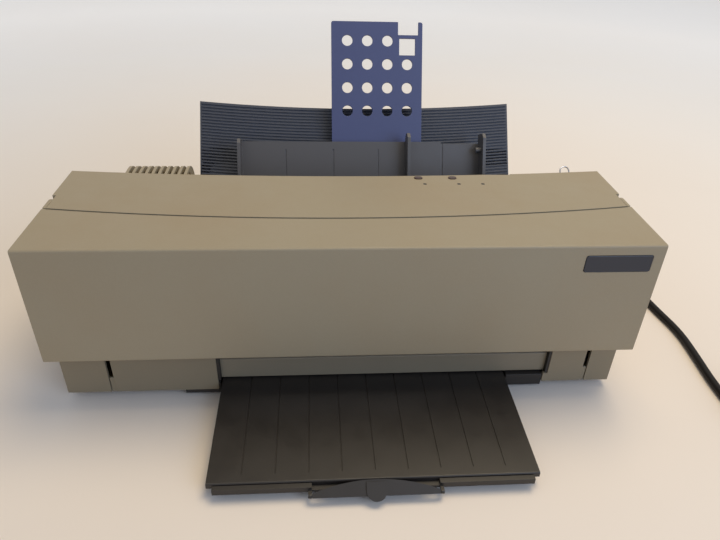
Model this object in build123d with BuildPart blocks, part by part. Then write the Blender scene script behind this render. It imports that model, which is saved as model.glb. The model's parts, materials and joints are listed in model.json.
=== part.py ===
from build123d import *
import os
from math import atan2, cos, degrees, hypot, radians, sin, sqrt, tan

os.makedirs("parts", exist_ok=True)

# Desktop thermal printer with a hinged front cover, a pull-out output tray and a rear sheet feeder.
# Millimetres. +X is to the right seen from the front, +Y to the rear, +Z up, and the desk is z = 0.
# A depth is a distance behind the front face of the cover.

# Cabinet
case_width = 436.0
half_width = case_width / 2
case_height = 143.0
case_depth = 200.0
case_wall = 2.5
base_inset = 3.0
base_front_depth = 15.0
base_bottom = 6.5
base_rim = 50.0
case_joint_gap = 0.6
base_back_depth = 197.0
rear_slope = 40.0
rear_edge_depth = 126.0
rear_edge_bow = 10.7

# Front cover
cover_bottom = 50.0
cover_seam_depth = 58.6
cover_seam_bow = 17.0
cover_seam_gap = 1.8
cover_seam_groove = 0.7
cover_side_depth = 52.0
cover_hinge_depth = 72.6
cover_ear_radius = 8.0
cover_side_gap = 0.4
cover_edge_radius = 1.6
cover_open_angle = 80.0
hinge_pin_radius = 3.0
pin_head = 1.5
running_gap = 0.05
cut_margin = 1.0
plan_margin = 20.0
same_place = 0.01
arm_height = 72.0
nameplate_width = 48.0
nameplate_height = 13.5
nameplate_thickness = 1.2
nameplate_recess = 0.7
nameplate_center_x = half_width - 32.0
nameplate_center_z = case_height - 14.3
nameplate_corner = 1.8
nameplate_edge = 0.4
front_bar_height = 7.0

# Controls in the top
lens_x = (65.0, 92.7, 112.4)
lens_depth = 100.3
lens_radius = 1.5
lens_length = 9.0
button_x = (61.2, 89.4)
button_depth = 111.6
button_length = 6.6
button_width = 4.6
button_travel = 1.5
fit_gap = 0.3
board_thickness = 1.6
button_proud = 0.8
button_flange = 1.5
button_stem_radius = 1.5
board_x = (45.0, 125.0)
board_depth = (lens_depth - 8.3, button_depth + 6.4)
board_height = 130.0
switch_size = 6.0
switch_height = 3.6
post_radius = 2.0

# Air vent at the rear left
fin_count = 10
fin_pitch = 5.2
fin_thickness = 2.3
fin_first_x = 42.4 - half_width
fin_front_depth = 117.0
fin_flat_depth = 133.0
fin_rear_depth = 151.0
fin_slot_margin = 6.0
fin_sink = 1.0
fin_step = 0.4

# Lower front
slot_left_x = (35.7 - half_width, 39.6 - half_width)
slot_right_x = (half_width - 26.7, half_width - 23.1)
slot_tab_height = 14.0
slot_tab_gap = 0.5
bezel_gap = 0.4
housing_window_top = 14.9
recess_x = (-100.0, 163.0)
recess_depth = 4.0
exit_slot_bottom = 33.0
exit_slot_top = 47.0
exit_cheek = 2.2
panel_wall = 2.0
sill_height = 40.0
sill_gap = 1.5

# Output tray
tray_x = (-97.0, 127.5)
tray_top = 14.0
tray_slope = 1.15
tray_reach = 80.0
tray_inside = 16.0
tray_side_gap = 1.5
tray_hook = 1.5
tray_hook_height = 3.0
tray_hook_length = 5.0
tray_plate = 2.6
tray_rail = 4.0
tray_rail_height = 8.0
tray_lip = 3.6
tray_groove_pitch = 22.4
tray_groove_count = 9
tray_groove_width = 0.8
tray_groove_cut = 0.6
tray_travel = 92.0
hook_bottom = 6.2
hook_top = 12.0
hook_stop = 9.5
housing_x = (-126.0, 159.0)
housing_bottom = 3.0
housing_floor = 2.0
housing_length = 112.0
pocket_roof = 18.4
pocket_gap = 2.0
pocket_length = 120.0
extension_plate = 2.0
extension_lip = 4.6
extension_reach = 4.0
extension_travel = 78.0
extension_end = 20.0
stopper_center_x = 15.25
stopper_width = 85.0
stopper_reach = 81.4
stopper_height = 13.4
stopper_angle = 37.0
stopper_length = 10.6
stopper_arch = 7.6
stopper_tab_width = 13.4
stopper_tab_length = 3.6
stopper_tab_start = 1.6
stopper_tab_proud = 1.2
stopper_thickness = 1.4
stopper_barrel_radius = 1.5
stopper_barrel_length = 4.0
stopper_pin_radius = 0.8
stopper_pin_length = 3.0
stopper_arm = 2.4
stopper_open_angle = 50.0

# Sheet feeder
hopper_lean = 65.0
hopper_depth = 193.0
hopper_x = (-89.0, 130.4)
hopper_length = 112.0
hopper_plate = 2.5
hopper_wall = 2.8
hopper_wall_proud = 16.0
hopper_left_rise = 1.5
hopper_right_rise = 7.0
hopper_groove_x = (-49.2, -5.6, 36.0)
hopper_step_x = 94.6
hopper_step_drop = 1.5
groove_width = 1.0
groove_cut = 0.6
groove_top = 7.0
groove_length = 52.0
wall_corner = 4.0
wall_step_drop = -74.0
low_wall_proud = 6.0
leg_width = 4.0
leg_depth = 4.0
leg_shelf = 8.0
guide_x = 62.4
guide_thickness = 2.8
guide_rise = 7.0
guide_length = 69.0
guide_rail_drop = 50.0
guide_travel = (-46.0, 60.0)
guide_slot_width = 4.0
guide_slot_end = 3.0
guide_foot = 6.0
knob_length = 5.0
press_center_x = 20.7
press_width = 196.0
press_gap = 1.0
press_top = -62.5
press_window_top = -61.0
press_length = 46.0
press_recess = 0.8
press_thickness = 1.6
press_pin_drop = 65.0
press_pin_off = -1.6
press_pin_radius = 1.5
press_boss = 3.0
press_boss_wall = 1.2
press_swing = 6.0
pad_width = 16.0
knob_radius = 2.6
knob_drop = 8.0
feeder_margin = 7.0
feeder_setback = 3.0
feeder_sill = 6.0
feeder_sill_height = 84.0

# Perforated paper support
support_center_x = 35.5
support_width = 84.4
support_plate = 2.5
support_setback = 9.5
support_rise = 109.0
support_hidden = 26.0
support_travel = 78.0
support_hole_radius = 4.9
support_hole_x = (8.0, 26.5, 45.2, 63.7)
support_hole_rise = (29.0, 50.0, 71.2, 92.1)
support_notch_x = (55.0, 73.8)
support_notch_rise = 97.5
support_window_x = (56.2, 71.0)
support_window_rise = (79.5, 94.4)
support_rail = 3.8
support_rail_up = (-44.0, -3.0)
support_corner = 2.0
rail_wall = 1.6

# Ribbed feeder cover, open
lid_lean = 55.2
lid_x = (-130.6, 165.6)
lid_depth = 197.7
lid_height = 110.3
lid_rise = 67.9
lid_drop = 15.0
lid_bow = 6.2
lid_plate = 3.0
lid_border = 1.5
rib_count = 26
rib_pitch = 2.9
rib_height = 1.1
rib_width = 1.3
rib_first = 1.6
lid_pin_radius = 2.5
lid_pin_back = 4.5
lid_lug = 3.0
lid_swing = 7.0
lid_gap = 0.4
lid_lug_radius = 5.0
lid_lug_drop = 16.0
lid_arm = 3.0
lid_arm_wall = 1.5

# Print mechanism
side_plate_x = (17.0 - half_width, half_width - 18.6)
side_plate = 1.6
paper_height = 42.0
roller_radius = 7.0
shaft_radius = 3.0
exit_roller_depth = 44.0
feed_roller_depth = 112.0
tyre_x = (-70.0, -15.0, 40.0, 95.0)
tyre_width = 14.0
platen_depth = (66.0, 86.0)
platen_pad = 2.0
platen_height = 6.5
pad_clearance = 0.5
pad_inset = 4.0
guide_below = 2.0
guide_sheet = 1.2
guide_flange = 5.0
guide_spans = ((52.5, 65.5), (86.5, 104.5), (120.5, 139.0))
paper_center_x = 18.0
paper_width = 222.0
gear_module = 1.0
gear_width = 5.0
gear_gap = 1.0
gear_tip = 0.8
gear_root = 1.1
tooth_root_share = 0.62
tooth_pitch_share = 0.40
tooth_tip_share = 0.22
shaft_end = 1.5
idler_stud_radius = 2.5
pinion_hole_radius = 4.0
motor_shaft_radius = 1.5
motor_shaft_end = 0.5
flange_half = 7.0
flange_height = 28.0
plate_corners = (
    (36.0, 26.0),
    (36.0, 50.0),
    (47.0, 100.0),
    (124.0, 100.0),
    (152.0, 80.0),
    (152.0, 50.0),
    (141.0, 34.0),
    (136.0, 9.0),
    (56.0, 9.0),
    (50.0, 26.0),
)
plate_foot = 12.0
foot_span = (60.0, 110.0)
pinch_radius = 4.0
pinch_gap = 0.4
pinch_shaft_radius = 1.5
pinch_x = (-88.0, -42.5, 12.5, 67.5, 113.0)
pinch_finger = 6.0
pinch_finger_ahead = 3.0
pinch_bar_setback = 5.0
pinch_bar_thickness = 5.0
pinch_bar_height = (50.0, 58.0)
feed_teeth = 30
idler_teeth = 38
pickup_teeth = 55
pinion_teeth = 12
pinion_angle = -31.5
pickup_drop = 92.0
pickup_off = 14.0
pickup_radius = 10.0
pickup_tyre_x = (-45.0, 85.0)
pickup_tyre_width = 18.0
carriage_shaft_depth = 98.0
carriage_shaft_height = 74.0
carriage_shaft_radius = 4.0
carriage_width = 64.0
carriage_rest_x = half_width - 68.0
carriage_travel = 2 * carriage_rest_x
carriage_depth = (58.0, 108.0)
carriage_height = (50.0, 84.0)
carriage_side = 8.0
clamp_half = 6.0
clamp_height = 6.0
clip_height = 7.0
lip_gap = 1.3
head_room = 5.0
head_ceiling = 62.0
head_pivot_depth = 92.0
head_pivot_height = 55.0
head_pin_radius = 1.5
head_pin_length = 3.0
head_gap = 0.5
head_front_depth = 69.0
head_length = 11.0
head_width = 26.0
head_bottom = 44.0
head_lift = 4.0
hook_low = 74.0
hook_front = 5.0
hook_overlap = 8.0
rail_gap = 0.4
rail_flange = 6.0
front_rail_depth = 52.0
front_rail_height = (80.0, 96.0)
pulley_radius = 6.4
pulley_x = half_width - 38.0
pulley_height = 92.0
belt_depth = 112.0
belt_width = 6.0
belt_thickness = 1.4
belt_flange = 1.2
flange_sheet = 0.8
pulley_pin_radius = 2.0
bracket_gap = 1.2
bracket_end = 16.0
bracket_z = (80.0, 100.0)
motor_radius = 14.0
motor_length = 26.0
feed_motor_radius = 11.0
feed_motor_length = 24.0

# Stored ribbon cassettes in the cover
cassette_side_room = 22.0
cassette_room = 12.0
cassette_height = 52.0
cassette_thickness = 15.0
cassette_count = 4
cassette_pitch = 2 * (half_width - cassette_side_room) / cassette_count
cassette_width = cassette_pitch - cassette_room
cassette_bottom = 70.0
cassette_corner = 5.0
cassette_window = 26.0
cassette_window_depth = 12.0
cassette_spool_x = 22.0
cassette_spool_y = -6.0
cassette_spool_radius = 5.0
rack_wall = 1.5
rack_gap = 0.4
rack_lip = 7.0
rack_top = 126.0

# Feet, screws, rear connections
foot_radius = 8.0
foot_x = half_width - 33.0
foot_depth = (34.0, 180.0)
foot_edge = 1.0
screw_radius = 3.5
screw_shank = 1.6
screw_head = 2.4
screw_slot = 0.9
screw_boss = 12.0
screw_boss_wall = 1.5
screw_slot_share = 1.2
screw_x = half_width - 13.0
screw_depth = (24.0, 186.0)
vent_count = 9
vent_first_x = -60.0
vent_pitch = 14.0
vent_width = 4.0
vent_depth = (150.0, 185.0)
connector_x = half_width - 19.0
connector_width = 14.0
connector_length = 60.0
connector_setback = 26.0
bail_width = 8.0
bail_height = 8.4
bail_wire = 0.6
bail_swing = 70.0
bail_lug = 4.0
bail_lug_width = 4.0
bail_pivot = 3.6
bail_bend = 1.6
connector_flange = 1.5
connector_sheet = 1.0
connector_rim = (2.0, 4.0)
tongue_room = (1.5, 2.0)
connector_below = 7.0
connector_proud = 4.5
main_x = (-90.0, 150.0)
main_depth = (158.0, 192.0)
main_height = 13.0
main_post_x = (-84.0, 144.0)
main_post_depth = (162.0, 188.0)
main_chips = (
    (-60.0, 176.0, 24.0, 10.0, 3.5),
    (-20.0, 174.0, 18.0, 18.0, 3.0),
    (30.0, 176.0, 34.0, 12.0, 4.0),
    (80.0, 172.0, 14.0, 14.0, 9.0),
    (115.0, 176.0, 20.0, 8.0, 10.0),
)
transformer_x = (28.0 - half_width, 76.0 - half_width)
transformer_depth = (150.0, 186.0)
transformer_low = 12.0
transformer_core = 44.0
transformer_coil = 28.0
transformer_lap = 4.0

# Power cord
cord_radius = 3.4
cord_x = half_width - 23.0
cord_height = 24.0
relief_length = 30.0
relief_radius = 5.6
relief_neck = 4.6
plug_length = 38.0
plug_width = 25.0
plug_height = 21.0
coil_outer = 46.0
coil_pitch = 8.4
coil_turns = 6.2
coil_corners = 10
coil_climb_steps = 3
coil_layer = 7.6
coil_x = cord_x + 157.0
coil_depth = -39.0
coil_tail = 34.0
coil_tail_turn = -30.0
cord_straight = 11.5
cord_sides = 8
bend_share = 0.45
gap_step = 3.0
gap_apart = 30.0
plug_corner = 5.0
blade_gap = 12.7
blade_shift = 3.0
blade_width = 6.3
blade_thickness = 1.5
blade_length = 17.0
earth_radius = 2.4
relief_tip = 1.0
relief_rings = 4
relief_slot = 2.0
cord_route = (
    (2.0, 264.0, 20.0),
    (17.0, 292.0, 12.0),
    (50.0, 308.0, 5.0),
    (85.0, 300.0, cord_radius),
    (105.0, 268.0, cord_radius),
    (111.0, 225.0, cord_radius),
    (110.0, 180.0, cord_radius),
    (108.0, 140.0, cord_radius),
    (111.5, 110.0, cord_radius),
    (116.5, 78.0, cord_radius),
    (114.0, 45.0, cord_radius),
    (110.0, 8.0, cord_radius),
)

# Places worked out from the sizes
lean_cos = cos(radians(hopper_lean))
lean_sin = sin(radians(hopper_lean))
support_back = hopper_depth + support_rise * lean_cos + (support_setback + support_plate) * lean_sin
stopper_cos = cos(radians(stopper_angle))
stopper_sin = sin(radians(stopper_angle))
reach_front = (
    stopper_reach
    + (stopper_length + stopper_tab_length) * stopper_cos
    + stopper_tab_proud * stopper_sin
)
front_y = (reach_front - support_back) / 2


def behind(depth):
    """Y of a place at a depth behind the cover's front face."""
    return front_y + depth


def block(x, y, z, mode=Mode.ADD):
    """A box between two values on each axis."""
    with Locations(((x[0] + x[1]) / 2, (y[0] + y[1]) / 2, (z[0] + z[1]) / 2)):
        Box(x[1] - x[0], y[1] - y[0], z[1] - z[0], mode=mode)


def rod(radius, x, y, z, mode=Mode.ADD):
    """A round bar along X."""
    with BuildSketch(Plane.YZ.offset(x[0])) as section:
        with Locations((y, z)):
            Circle(radius)
    extrude(section.sketch, amount=x[1] - x[0], mode=mode)


def profile(points, x, mode=Mode.ADD):
    """A side outline of (y, z) points, carried across X."""
    with BuildSketch(Plane.YZ.offset(x[0])) as section:
        with BuildLine():
            Polyline(*points, close=True)
        make_face()
    extrude(section.sketch, amount=x[1] - x[0], mode=mode)


def save(piece, name):
    """Label a finished piece and write its file."""
    piece.part.label = name
    export_step(piece.part, "parts/" + name + ".step")


def cheek_outline(grow):
    """Side outline of the cover: the front, the top and a round ear on the hinge."""
    with BuildSketch(mode=Mode.PRIVATE) as outline:
        with BuildLine():
            Polyline(
                (behind(0), cover_bottom),
                (behind(0), case_height),
                (behind(cover_hinge_depth), case_height),
                (behind(cover_side_depth), cover_bottom),
                close=True,
            )
        make_face()
        with Locations((behind(cover_hinge_depth), cover_hinge_height)):
            Circle(cover_ear_radius)
        make_hull()
        if grow:
            offset(amount=grow, kind=Kind.INTERSECTION)
    return outline.sketch


def seam_region(gap, ahead):
    """Plan of all that lies ahead of, or behind, the curved seam across the top."""
    middle = behind(cover_seam_depth - cover_seam_bow + gap)
    end = behind(cover_seam_depth + gap)
    far = behind(-plan_margin) if ahead else behind(case_depth + plan_margin)
    with BuildSketch(mode=Mode.PRIVATE) as plan:
        with BuildLine():
            ThreePointArc((-half_width, end), (0, middle), (half_width, end))
            Polyline((half_width, end), (half_width, far), (-half_width, far), (-half_width, end))
        make_face()
    return plan.sketch


lid_cos = cos(radians(lid_lean))
lid_sin = sin(radians(lid_lean))
lid_pin_y = behind(lid_depth) - lid_drop * lid_cos + lid_pin_back * lid_sin
lid_pin_z = lid_height - lid_drop * lid_sin - lid_pin_back * lid_cos
slope_cos = cos(radians(rear_slope))
slope_sin = sin(radians(rear_slope))
cover_hinge_height = case_height - cover_ear_radius
hinge_y = behind(cover_hinge_depth)
arm_outer = half_width - base_inset
arm_inner = arm_outer - case_wall

# Front cover: front face, top panel up to the curved seam, and side cheeks with hinge ears
with BuildPart() as front_cover:
    with BuildSketch(Plane.YZ.offset(-half_width)):
        with BuildLine():
            Polyline(
                (behind(0), cover_bottom),
                (behind(0), case_height),
                (behind(cover_seam_depth), case_height),
                (behind(cover_seam_depth), case_height - case_wall),
                (behind(case_wall), case_height - case_wall),
                (behind(case_wall), cover_bottom),
                close=True,
            )
        make_face()
    extrude(amount=case_width)
    with BuildSketch(Plane.XY.offset(case_height - 2 * case_wall)):
        add(seam_region(0, False))
    extrude(amount=3 * case_wall, mode=Mode.SUBTRACT)
    for side in (-half_width, half_width - case_wall):
        with BuildSketch(Plane.YZ.offset(side)):
            add(cheek_outline(0))
        extrude(amount=case_wall)
    with BuildSketch(Plane.XY.offset(case_height - cover_seam_groove)):
        add(seam_region(0, False))
        add(seam_region(cover_seam_gap, True), mode=Mode.INTERSECT)
    extrude(amount=2 * cover_seam_groove, mode=Mode.SUBTRACT)
    front_edges = front_cover.edges().filter_by(Axis.X).filter_by_position(
        Axis.Y, behind(0) - same_place, behind(0) + same_place
    )
    fillet(front_edges, cover_edge_radius)
    rod(
        hinge_pin_radius + running_gap,
        (-half_width, half_width),
        hinge_y,
        cover_hinge_height,
        mode=Mode.SUBTRACT,
    )
    with BuildSketch(Plane.XZ.offset(-behind(nameplate_recess))):
        with Locations((nameplate_center_x, nameplate_center_z)):
            RectangleRounded(nameplate_width + fit_gap, nameplate_height + fit_gap, 2.0)
    extrude(amount=nameplate_recess, mode=Mode.SUBTRACT)
save(front_cover, "front_cover")

# Nameplate: a bare rounded plate in a shallow recess of the cover
with BuildPart() as nameplate:
    with BuildSketch(Plane.XZ.offset(-behind(nameplate_recess))):
        with Locations((nameplate_center_x, nameplate_center_z)):
            RectangleRounded(nameplate_width, nameplate_height, nameplate_corner)
    extrude(amount=nameplate_thickness)
    chamfer(nameplate.faces().sort_by(Axis.Y)[0].edges(), nameplate_edge)
save(nameplate, "nameplate")


def rear_region(inset):
    """Plan of all that lies behind the bowed rear edge of the top."""
    middle = behind(rear_edge_depth - rear_edge_bow - inset)
    end = behind(rear_edge_depth - inset)
    far = behind(3 * case_depth)
    with BuildSketch(mode=Mode.PRIVATE) as plan:
        with BuildLine():
            ThreePointArc((-half_width, end), (0, middle), (half_width, end))
            Polyline((half_width, end), (half_width, far), (-half_width, far), (-half_width, end))
        make_face()
    return plan.sketch


def rear_edge_y(x):
    """Y of the bowed rear edge of the top at a place across the case."""
    radius = (half_width**2 + rear_edge_bow**2) / (2 * rear_edge_bow)
    middle = behind(rear_edge_depth - rear_edge_bow)
    return middle + radius - sqrt(radius**2 - x**2)


def slope_z(x, y):
    """Height of the rear slope."""
    return case_height - (y - rear_edge_y(x)) * tan(radians(rear_slope))


slope_mid = connector_setback + connector_length / 2
slope_mid_y = rear_edge_y(connector_x) + slope_mid * slope_cos
slope_mid_z = case_height - slope_mid * slope_sin

# Upper case: rear part of the top, sides, rear slope, and two inner arms that carry the cover's pins
case_bottom = base_rim + case_joint_gap
slope_way = (0, cos(radians(rear_slope)), -sin(radians(rear_slope)))
slope_run = 2 * case_depth
seam_front = behind(cover_seam_depth - cover_seam_bow - case_wall)
inner_top = case_height - case_wall
inner_back = behind(case_depth) - case_wall
inner_side = half_width - case_wall
wall_shift = case_wall * tan(radians(rear_slope / 2))
feeder_x = (hopper_x[0] - hopper_wall - feeder_margin, hopper_x[1] + hopper_wall + feeder_margin)
feeder_front = behind(rear_edge_depth - rear_edge_bow + feeder_setback)

with BuildPart() as upper_case:
    block((-half_width, half_width), (seam_front, behind(case_depth)), (case_bottom, case_height))
    with BuildSketch(Plane.XY.offset(case_height)):
        add(rear_region(0))
    extrude(amount=slope_run, dir=slope_way, mode=Mode.SUBTRACT)
    with BuildPart(mode=Mode.PRIVATE) as hollow:
        block(
            (-inner_side, inner_side),
            (seam_front - case_wall, inner_back),
            (case_bottom - case_wall, inner_top),
        )
        with BuildSketch(Plane.XY.offset(inner_top)):
            add(rear_region(wall_shift))
        extrude(amount=slope_run, dir=slope_way, mode=Mode.SUBTRACT)
    add(hollow.part, mode=Mode.SUBTRACT)
    with BuildSketch(Plane.XY.offset(inner_top - cut_margin)):
        add(seam_region(cover_seam_gap, True))
    extrude(amount=2 * case_wall, mode=Mode.SUBTRACT)
    for side in (-half_width, inner_side - fit_gap):
        with BuildSketch(Plane.YZ.offset(side)):
            add(cheek_outline(cover_side_gap))
            with Locations((hinge_y, cover_hinge_height)):
                Rectangle(
                    cover_ear_radius + cover_side_gap,
                    2 * cover_ear_radius,
                    align=(Align.MIN, Align.MIN),
                )
        extrude(amount=case_wall + fit_gap, mode=Mode.SUBTRACT)
    for side in (-1, 1):
        inner = min(side * arm_outer, side * arm_inner)
        outline = [
            (behind(base_front_depth), case_bottom),
            (behind(base_front_depth), arm_height),
            (hinge_y - 2 * cover_ear_radius, inner_top),
            (hinge_y + 3 * cover_ear_radius, inner_top),
            (hinge_y + 3 * cover_ear_radius, case_bottom),
        ]
        profile(outline, (inner, inner + case_wall))
        strip = min(side * (arm_outer - case_wall / 2), side * (inner_side + case_wall / 2))
        block(
            (strip, strip + base_inset),
            (hinge_y + 2 * cover_ear_radius, hinge_y + 3 * cover_ear_radius),
            (case_bottom, inner_top),
        )
    block(
        (-arm_outer, arm_outer),
        (behind(base_front_depth), behind(base_front_depth) + case_wall),
        (case_bottom, case_bottom + front_bar_height),
    )
    rod(
        hinge_pin_radius + running_gap,
        (-half_width, half_width),
        hinge_y,
        cover_hinge_height,
        mode=Mode.SUBTRACT,
    )
    block(
        feeder_x,
        (feeder_front, behind(case_depth) - feeder_sill),
        (case_bottom, case_height + cut_margin),
        mode=Mode.SUBTRACT,
    )
    block(
        feeder_x,
        (feeder_front, behind(case_depth) + cut_margin),
        (feeder_sill_height, case_height),
        mode=Mode.SUBTRACT,
    )
    with BuildSketch(Plane.XY.offset(inner_top - cut_margin)):
        with Locations(*[(x, behind(lens_depth)) for x in lens_x]):
            Circle(lens_radius + running_gap)
        with Locations(*[(x, behind(button_depth)) for x in button_x]):
            SlotOverall(button_length + 2 * fit_gap, button_width + 2 * fit_gap)
    extrude(amount=2 * case_wall, mode=Mode.SUBTRACT)
    for number in range(fin_count - 1):
        slot_x = fin_first_x + number * fin_pitch + fin_thickness
        block(
            (slot_x, slot_x + fin_pitch - fin_thickness),
            (behind(fin_front_depth + fin_slot_margin), behind(fin_rear_depth - fin_slot_margin)),
            (case_height / 2, case_height + cut_margin),
            mode=Mode.SUBTRACT,
        )
    for number in range(fin_count):
        fin_x = fin_first_x + number * fin_pitch
        front = behind(fin_front_depth)
        flat = behind(fin_flat_depth)
        rear = behind(fin_rear_depth)
        under = slope_z(fin_x, rear) - case_wall
        with BuildSketch(Plane.YZ.offset(fin_x)):
            with BuildLine():
                Line((front, inner_top - fin_sink), (front, case_height - fin_step))
                Line((front, case_height - fin_step), (flat, case_height - fin_step))
                TangentArc((flat, case_height - fin_step), (rear, under + case_wall), tangent=(1, 0))
                Polyline(
                    (rear, under + case_wall),
                    (rear, under),
                    (flat, inner_top - fin_sink),
                    (front, inner_top - fin_sink),
                )
            make_face()
        extrude(amount=fin_thickness)
    for side, inner in ((lid_x[0], -1), (lid_x[1], 1)):
        near = side + inner * lid_gap
        lug_x = (min(near, near + inner * lid_lug), max(near, near + inner * lid_lug))
        with BuildSketch(Plane.YZ.offset(lug_x[0])):
            with Locations((lid_pin_y, lid_pin_z)):
                Circle(lid_lug_radius)
            with Locations((lid_pin_y, lid_pin_z)):
                Rectangle(2 * lid_lug_radius, lid_lug_drop, align=(Align.CENTER, Align.MAX))
        extrude(amount=lid_lug)
        rod(lid_pin_radius + running_gap, lug_x, lid_pin_y, lid_pin_z, mode=Mode.SUBTRACT)
    with Locations(Location((connector_x, slope_mid_y, slope_mid_z), (-rear_slope, 0, 0))):
        Box(
            connector_width - 2 * connector_sheet,
            connector_length - 2 * connector_sheet,
            4 * case_wall,
            mode=Mode.SUBTRACT,
        )
        Box(
            connector_width + fit_gap,
            connector_length + 2 * bail_lug + fit_gap,
            case_wall,
            align=(Align.CENTER, Align.CENTER, Align.MIN),
            mode=Mode.SUBTRACT,
        )
save(upper_case, "upper_case")


# Hinge pins of the cover, each with a head inside its arm
with BuildPart() as hinge_pins:
    for side in (-1, 1):
        ends = sorted((side * half_width, side * (arm_inner - pin_head)))
        rod(hinge_pin_radius, ends, hinge_y, cover_hinge_height)
        ends = sorted((side * arm_inner, side * (arm_inner - pin_head)))
        rod(hinge_pin_radius + pin_head, ends, hinge_y, cover_hinge_height)
save(hinge_pins, "hinge_pins")

# Rack and stored cassettes inside the cover's front face
rack_front = behind(case_wall)
cassette_front = rack_front + rack_wall
cassette_x = [(number - (cassette_count - 1) / 2) * cassette_pitch for number in range(cassette_count)]
rack_half = cassette_x[-1] + cassette_width / 2 + rack_gap + rack_wall
with BuildPart() as cassette_rack:
    block((-rack_half, rack_half), (rack_front, cassette_front), (cassette_bottom - rack_wall, rack_top))
    block(
        (-rack_half, rack_half),
        (rack_front, cassette_front + cassette_thickness + rack_wall + rack_gap),
        (cassette_bottom - rack_wall - rack_gap, cassette_bottom - rack_gap),
    )
    block(
        (-rack_half, rack_half),
        (
            cassette_front + cassette_thickness + rack_gap,
            cassette_front + cassette_thickness + rack_gap + rack_wall,
        ),
        (cassette_bottom - rack_wall - rack_gap, cassette_bottom + rack_lip),
    )
    for x in cassette_x:
        for side in (-1, 1):
            wall = x + side * (cassette_width / 2 + rack_gap)
            block(
                (min(wall, wall + side * rack_wall), max(wall, wall + side * rack_wall)),
                (rack_front, cassette_front + cassette_thickness + rack_gap),
                (cassette_bottom - rack_wall, rack_top),
            )
save(cassette_rack, "cassette_rack")


def cassette_plan():
    """Outline of a ribbon cassette with its two spools and the open ribbon window."""
    with BuildSketch(mode=Mode.PRIVATE) as plan:
        RectangleRounded(cassette_width, cassette_height, cassette_corner)
        with Locations((0, cassette_height / 2)):
            Rectangle(cassette_window, 2 * cassette_window_depth, mode=Mode.SUBTRACT)
        with Locations((-cassette_spool_x, cassette_spool_y), (cassette_spool_x, cassette_spool_y)):
            Circle(cassette_spool_radius, mode=Mode.SUBTRACT)
    return plan.sketch


with BuildPart() as ribbon_cassettes:
    for x in cassette_x:
        where = (x, cassette_front + cassette_thickness, cassette_bottom + cassette_height / 2)
        with BuildSketch(Plane(origin=where, x_dir=(1, 0, 0), z_dir=(0, -1, 0))):
            add(cassette_plan())
        extrude(amount=cassette_thickness)
save(ribbon_cassettes, "ribbon_cassettes")

# Base pan with the pocket for the tray housing; its middle front is open for the bezel
base_front = behind(base_front_depth)
base_back = behind(base_back_depth)
bezel_back = base_front + case_wall
base_floor = base_bottom + case_wall
pocket_x = (housing_x[0] - pocket_gap, housing_x[1] + pocket_gap)
pocket_back = base_front + pocket_length
panel_y = base_front + recess_depth
with BuildPart() as base_pan:
    block((-arm_outer, arm_outer), (base_front, base_back), (base_bottom, base_rim))
    block(
        (-arm_inner, arm_inner),
        (bezel_back, base_back - case_wall),
        (base_floor, base_rim + cut_margin),
        mode=Mode.SUBTRACT,
    )
    block(
        (slot_left_x[0], slot_right_x[1]),
        (base_front - cut_margin, bezel_back),
        (base_bottom - cut_margin, base_rim + cut_margin),
        mode=Mode.SUBTRACT,
    )
    block(
        (pocket_x[0] - case_wall, pocket_x[1] + case_wall),
        (panel_y + panel_wall, pocket_back + case_wall),
        (base_bottom, pocket_roof + case_wall),
    )
    block(
        pocket_x,
        (base_front - cut_margin, pocket_back),
        (base_bottom - cut_margin, pocket_roof),
        mode=Mode.SUBTRACT,
    )
    with BuildSketch(Plane.XZ.offset(-base_back - cut_margin)):
        with Locations((cord_x, cord_height)):
            Circle(relief_neck)
    extrude(amount=case_wall + 2 * cut_margin, mode=Mode.SUBTRACT)
    with BuildSketch(Plane.XY.offset(base_bottom)):
        with Locations(*[(x, behind(d)) for x in (-screw_x, screw_x) for d in screw_depth]):
            Circle(screw_radius + screw_boss_wall)
    extrude(amount=screw_boss)
    with BuildSketch(Plane.XY.offset(base_bottom)):
        with Locations(*[(x, behind(d)) for x in (-screw_x, screw_x) for d in screw_depth]):
            Circle(screw_radius)
    extrude(amount=screw_head, mode=Mode.SUBTRACT)
    with BuildSketch(Plane.XY.offset(base_bottom)):
        with Locations(*[(x, behind(d)) for x in (-screw_x, screw_x) for d in screw_depth]):
            Circle(screw_shank)
    extrude(amount=screw_boss + cut_margin, mode=Mode.SUBTRACT)
    for number in range(vent_count):
        x = vent_first_x + number * vent_pitch
        block(
            (x, x + vent_width),
            (behind(vent_depth[0]), behind(vent_depth[1])),
            (base_bottom - cut_margin, base_floor + cut_margin),
            mode=Mode.SUBTRACT,
        )
save(base_pan, "base_pan")

with BuildPart() as rubber_feet:
    with BuildSketch():
        with Locations(*[(x, behind(d)) for x in (-foot_x, foot_x) for d in foot_depth]):
            Circle(foot_radius)
    extrude(amount=base_bottom)
    chamfer(rubber_feet.edges().filter_by(GeomType.CIRCLE).group_by(Axis.Z)[0], foot_edge)
save(rubber_feet, "rubber_feet")

with BuildPart() as case_screws:
    with BuildSketch(Plane.XY.offset(base_bottom)):
        with Locations(*[(x, behind(d)) for x in (-screw_x, screw_x) for d in screw_depth]):
            Circle(screw_radius)
    extrude(amount=screw_head)
    with BuildSketch(Plane.XY.offset(base_bottom)):
        with Locations(*[(x, behind(d)) for x in (-screw_x, screw_x) for d in screw_depth]):
            Circle(screw_shank)
    extrude(amount=screw_boss)
    with BuildSketch(Plane.XY.offset(base_bottom)):
        with Locations(*[(x, behind(d)) for x in (-screw_x, screw_x) for d in screw_depth]):
            Rectangle(screw_slot, screw_radius * screw_slot_share)
            Rectangle(screw_radius * screw_slot_share, screw_slot)
    extrude(amount=screw_slot, mode=Mode.SUBTRACT)
save(case_screws, "case_screws")

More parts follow.
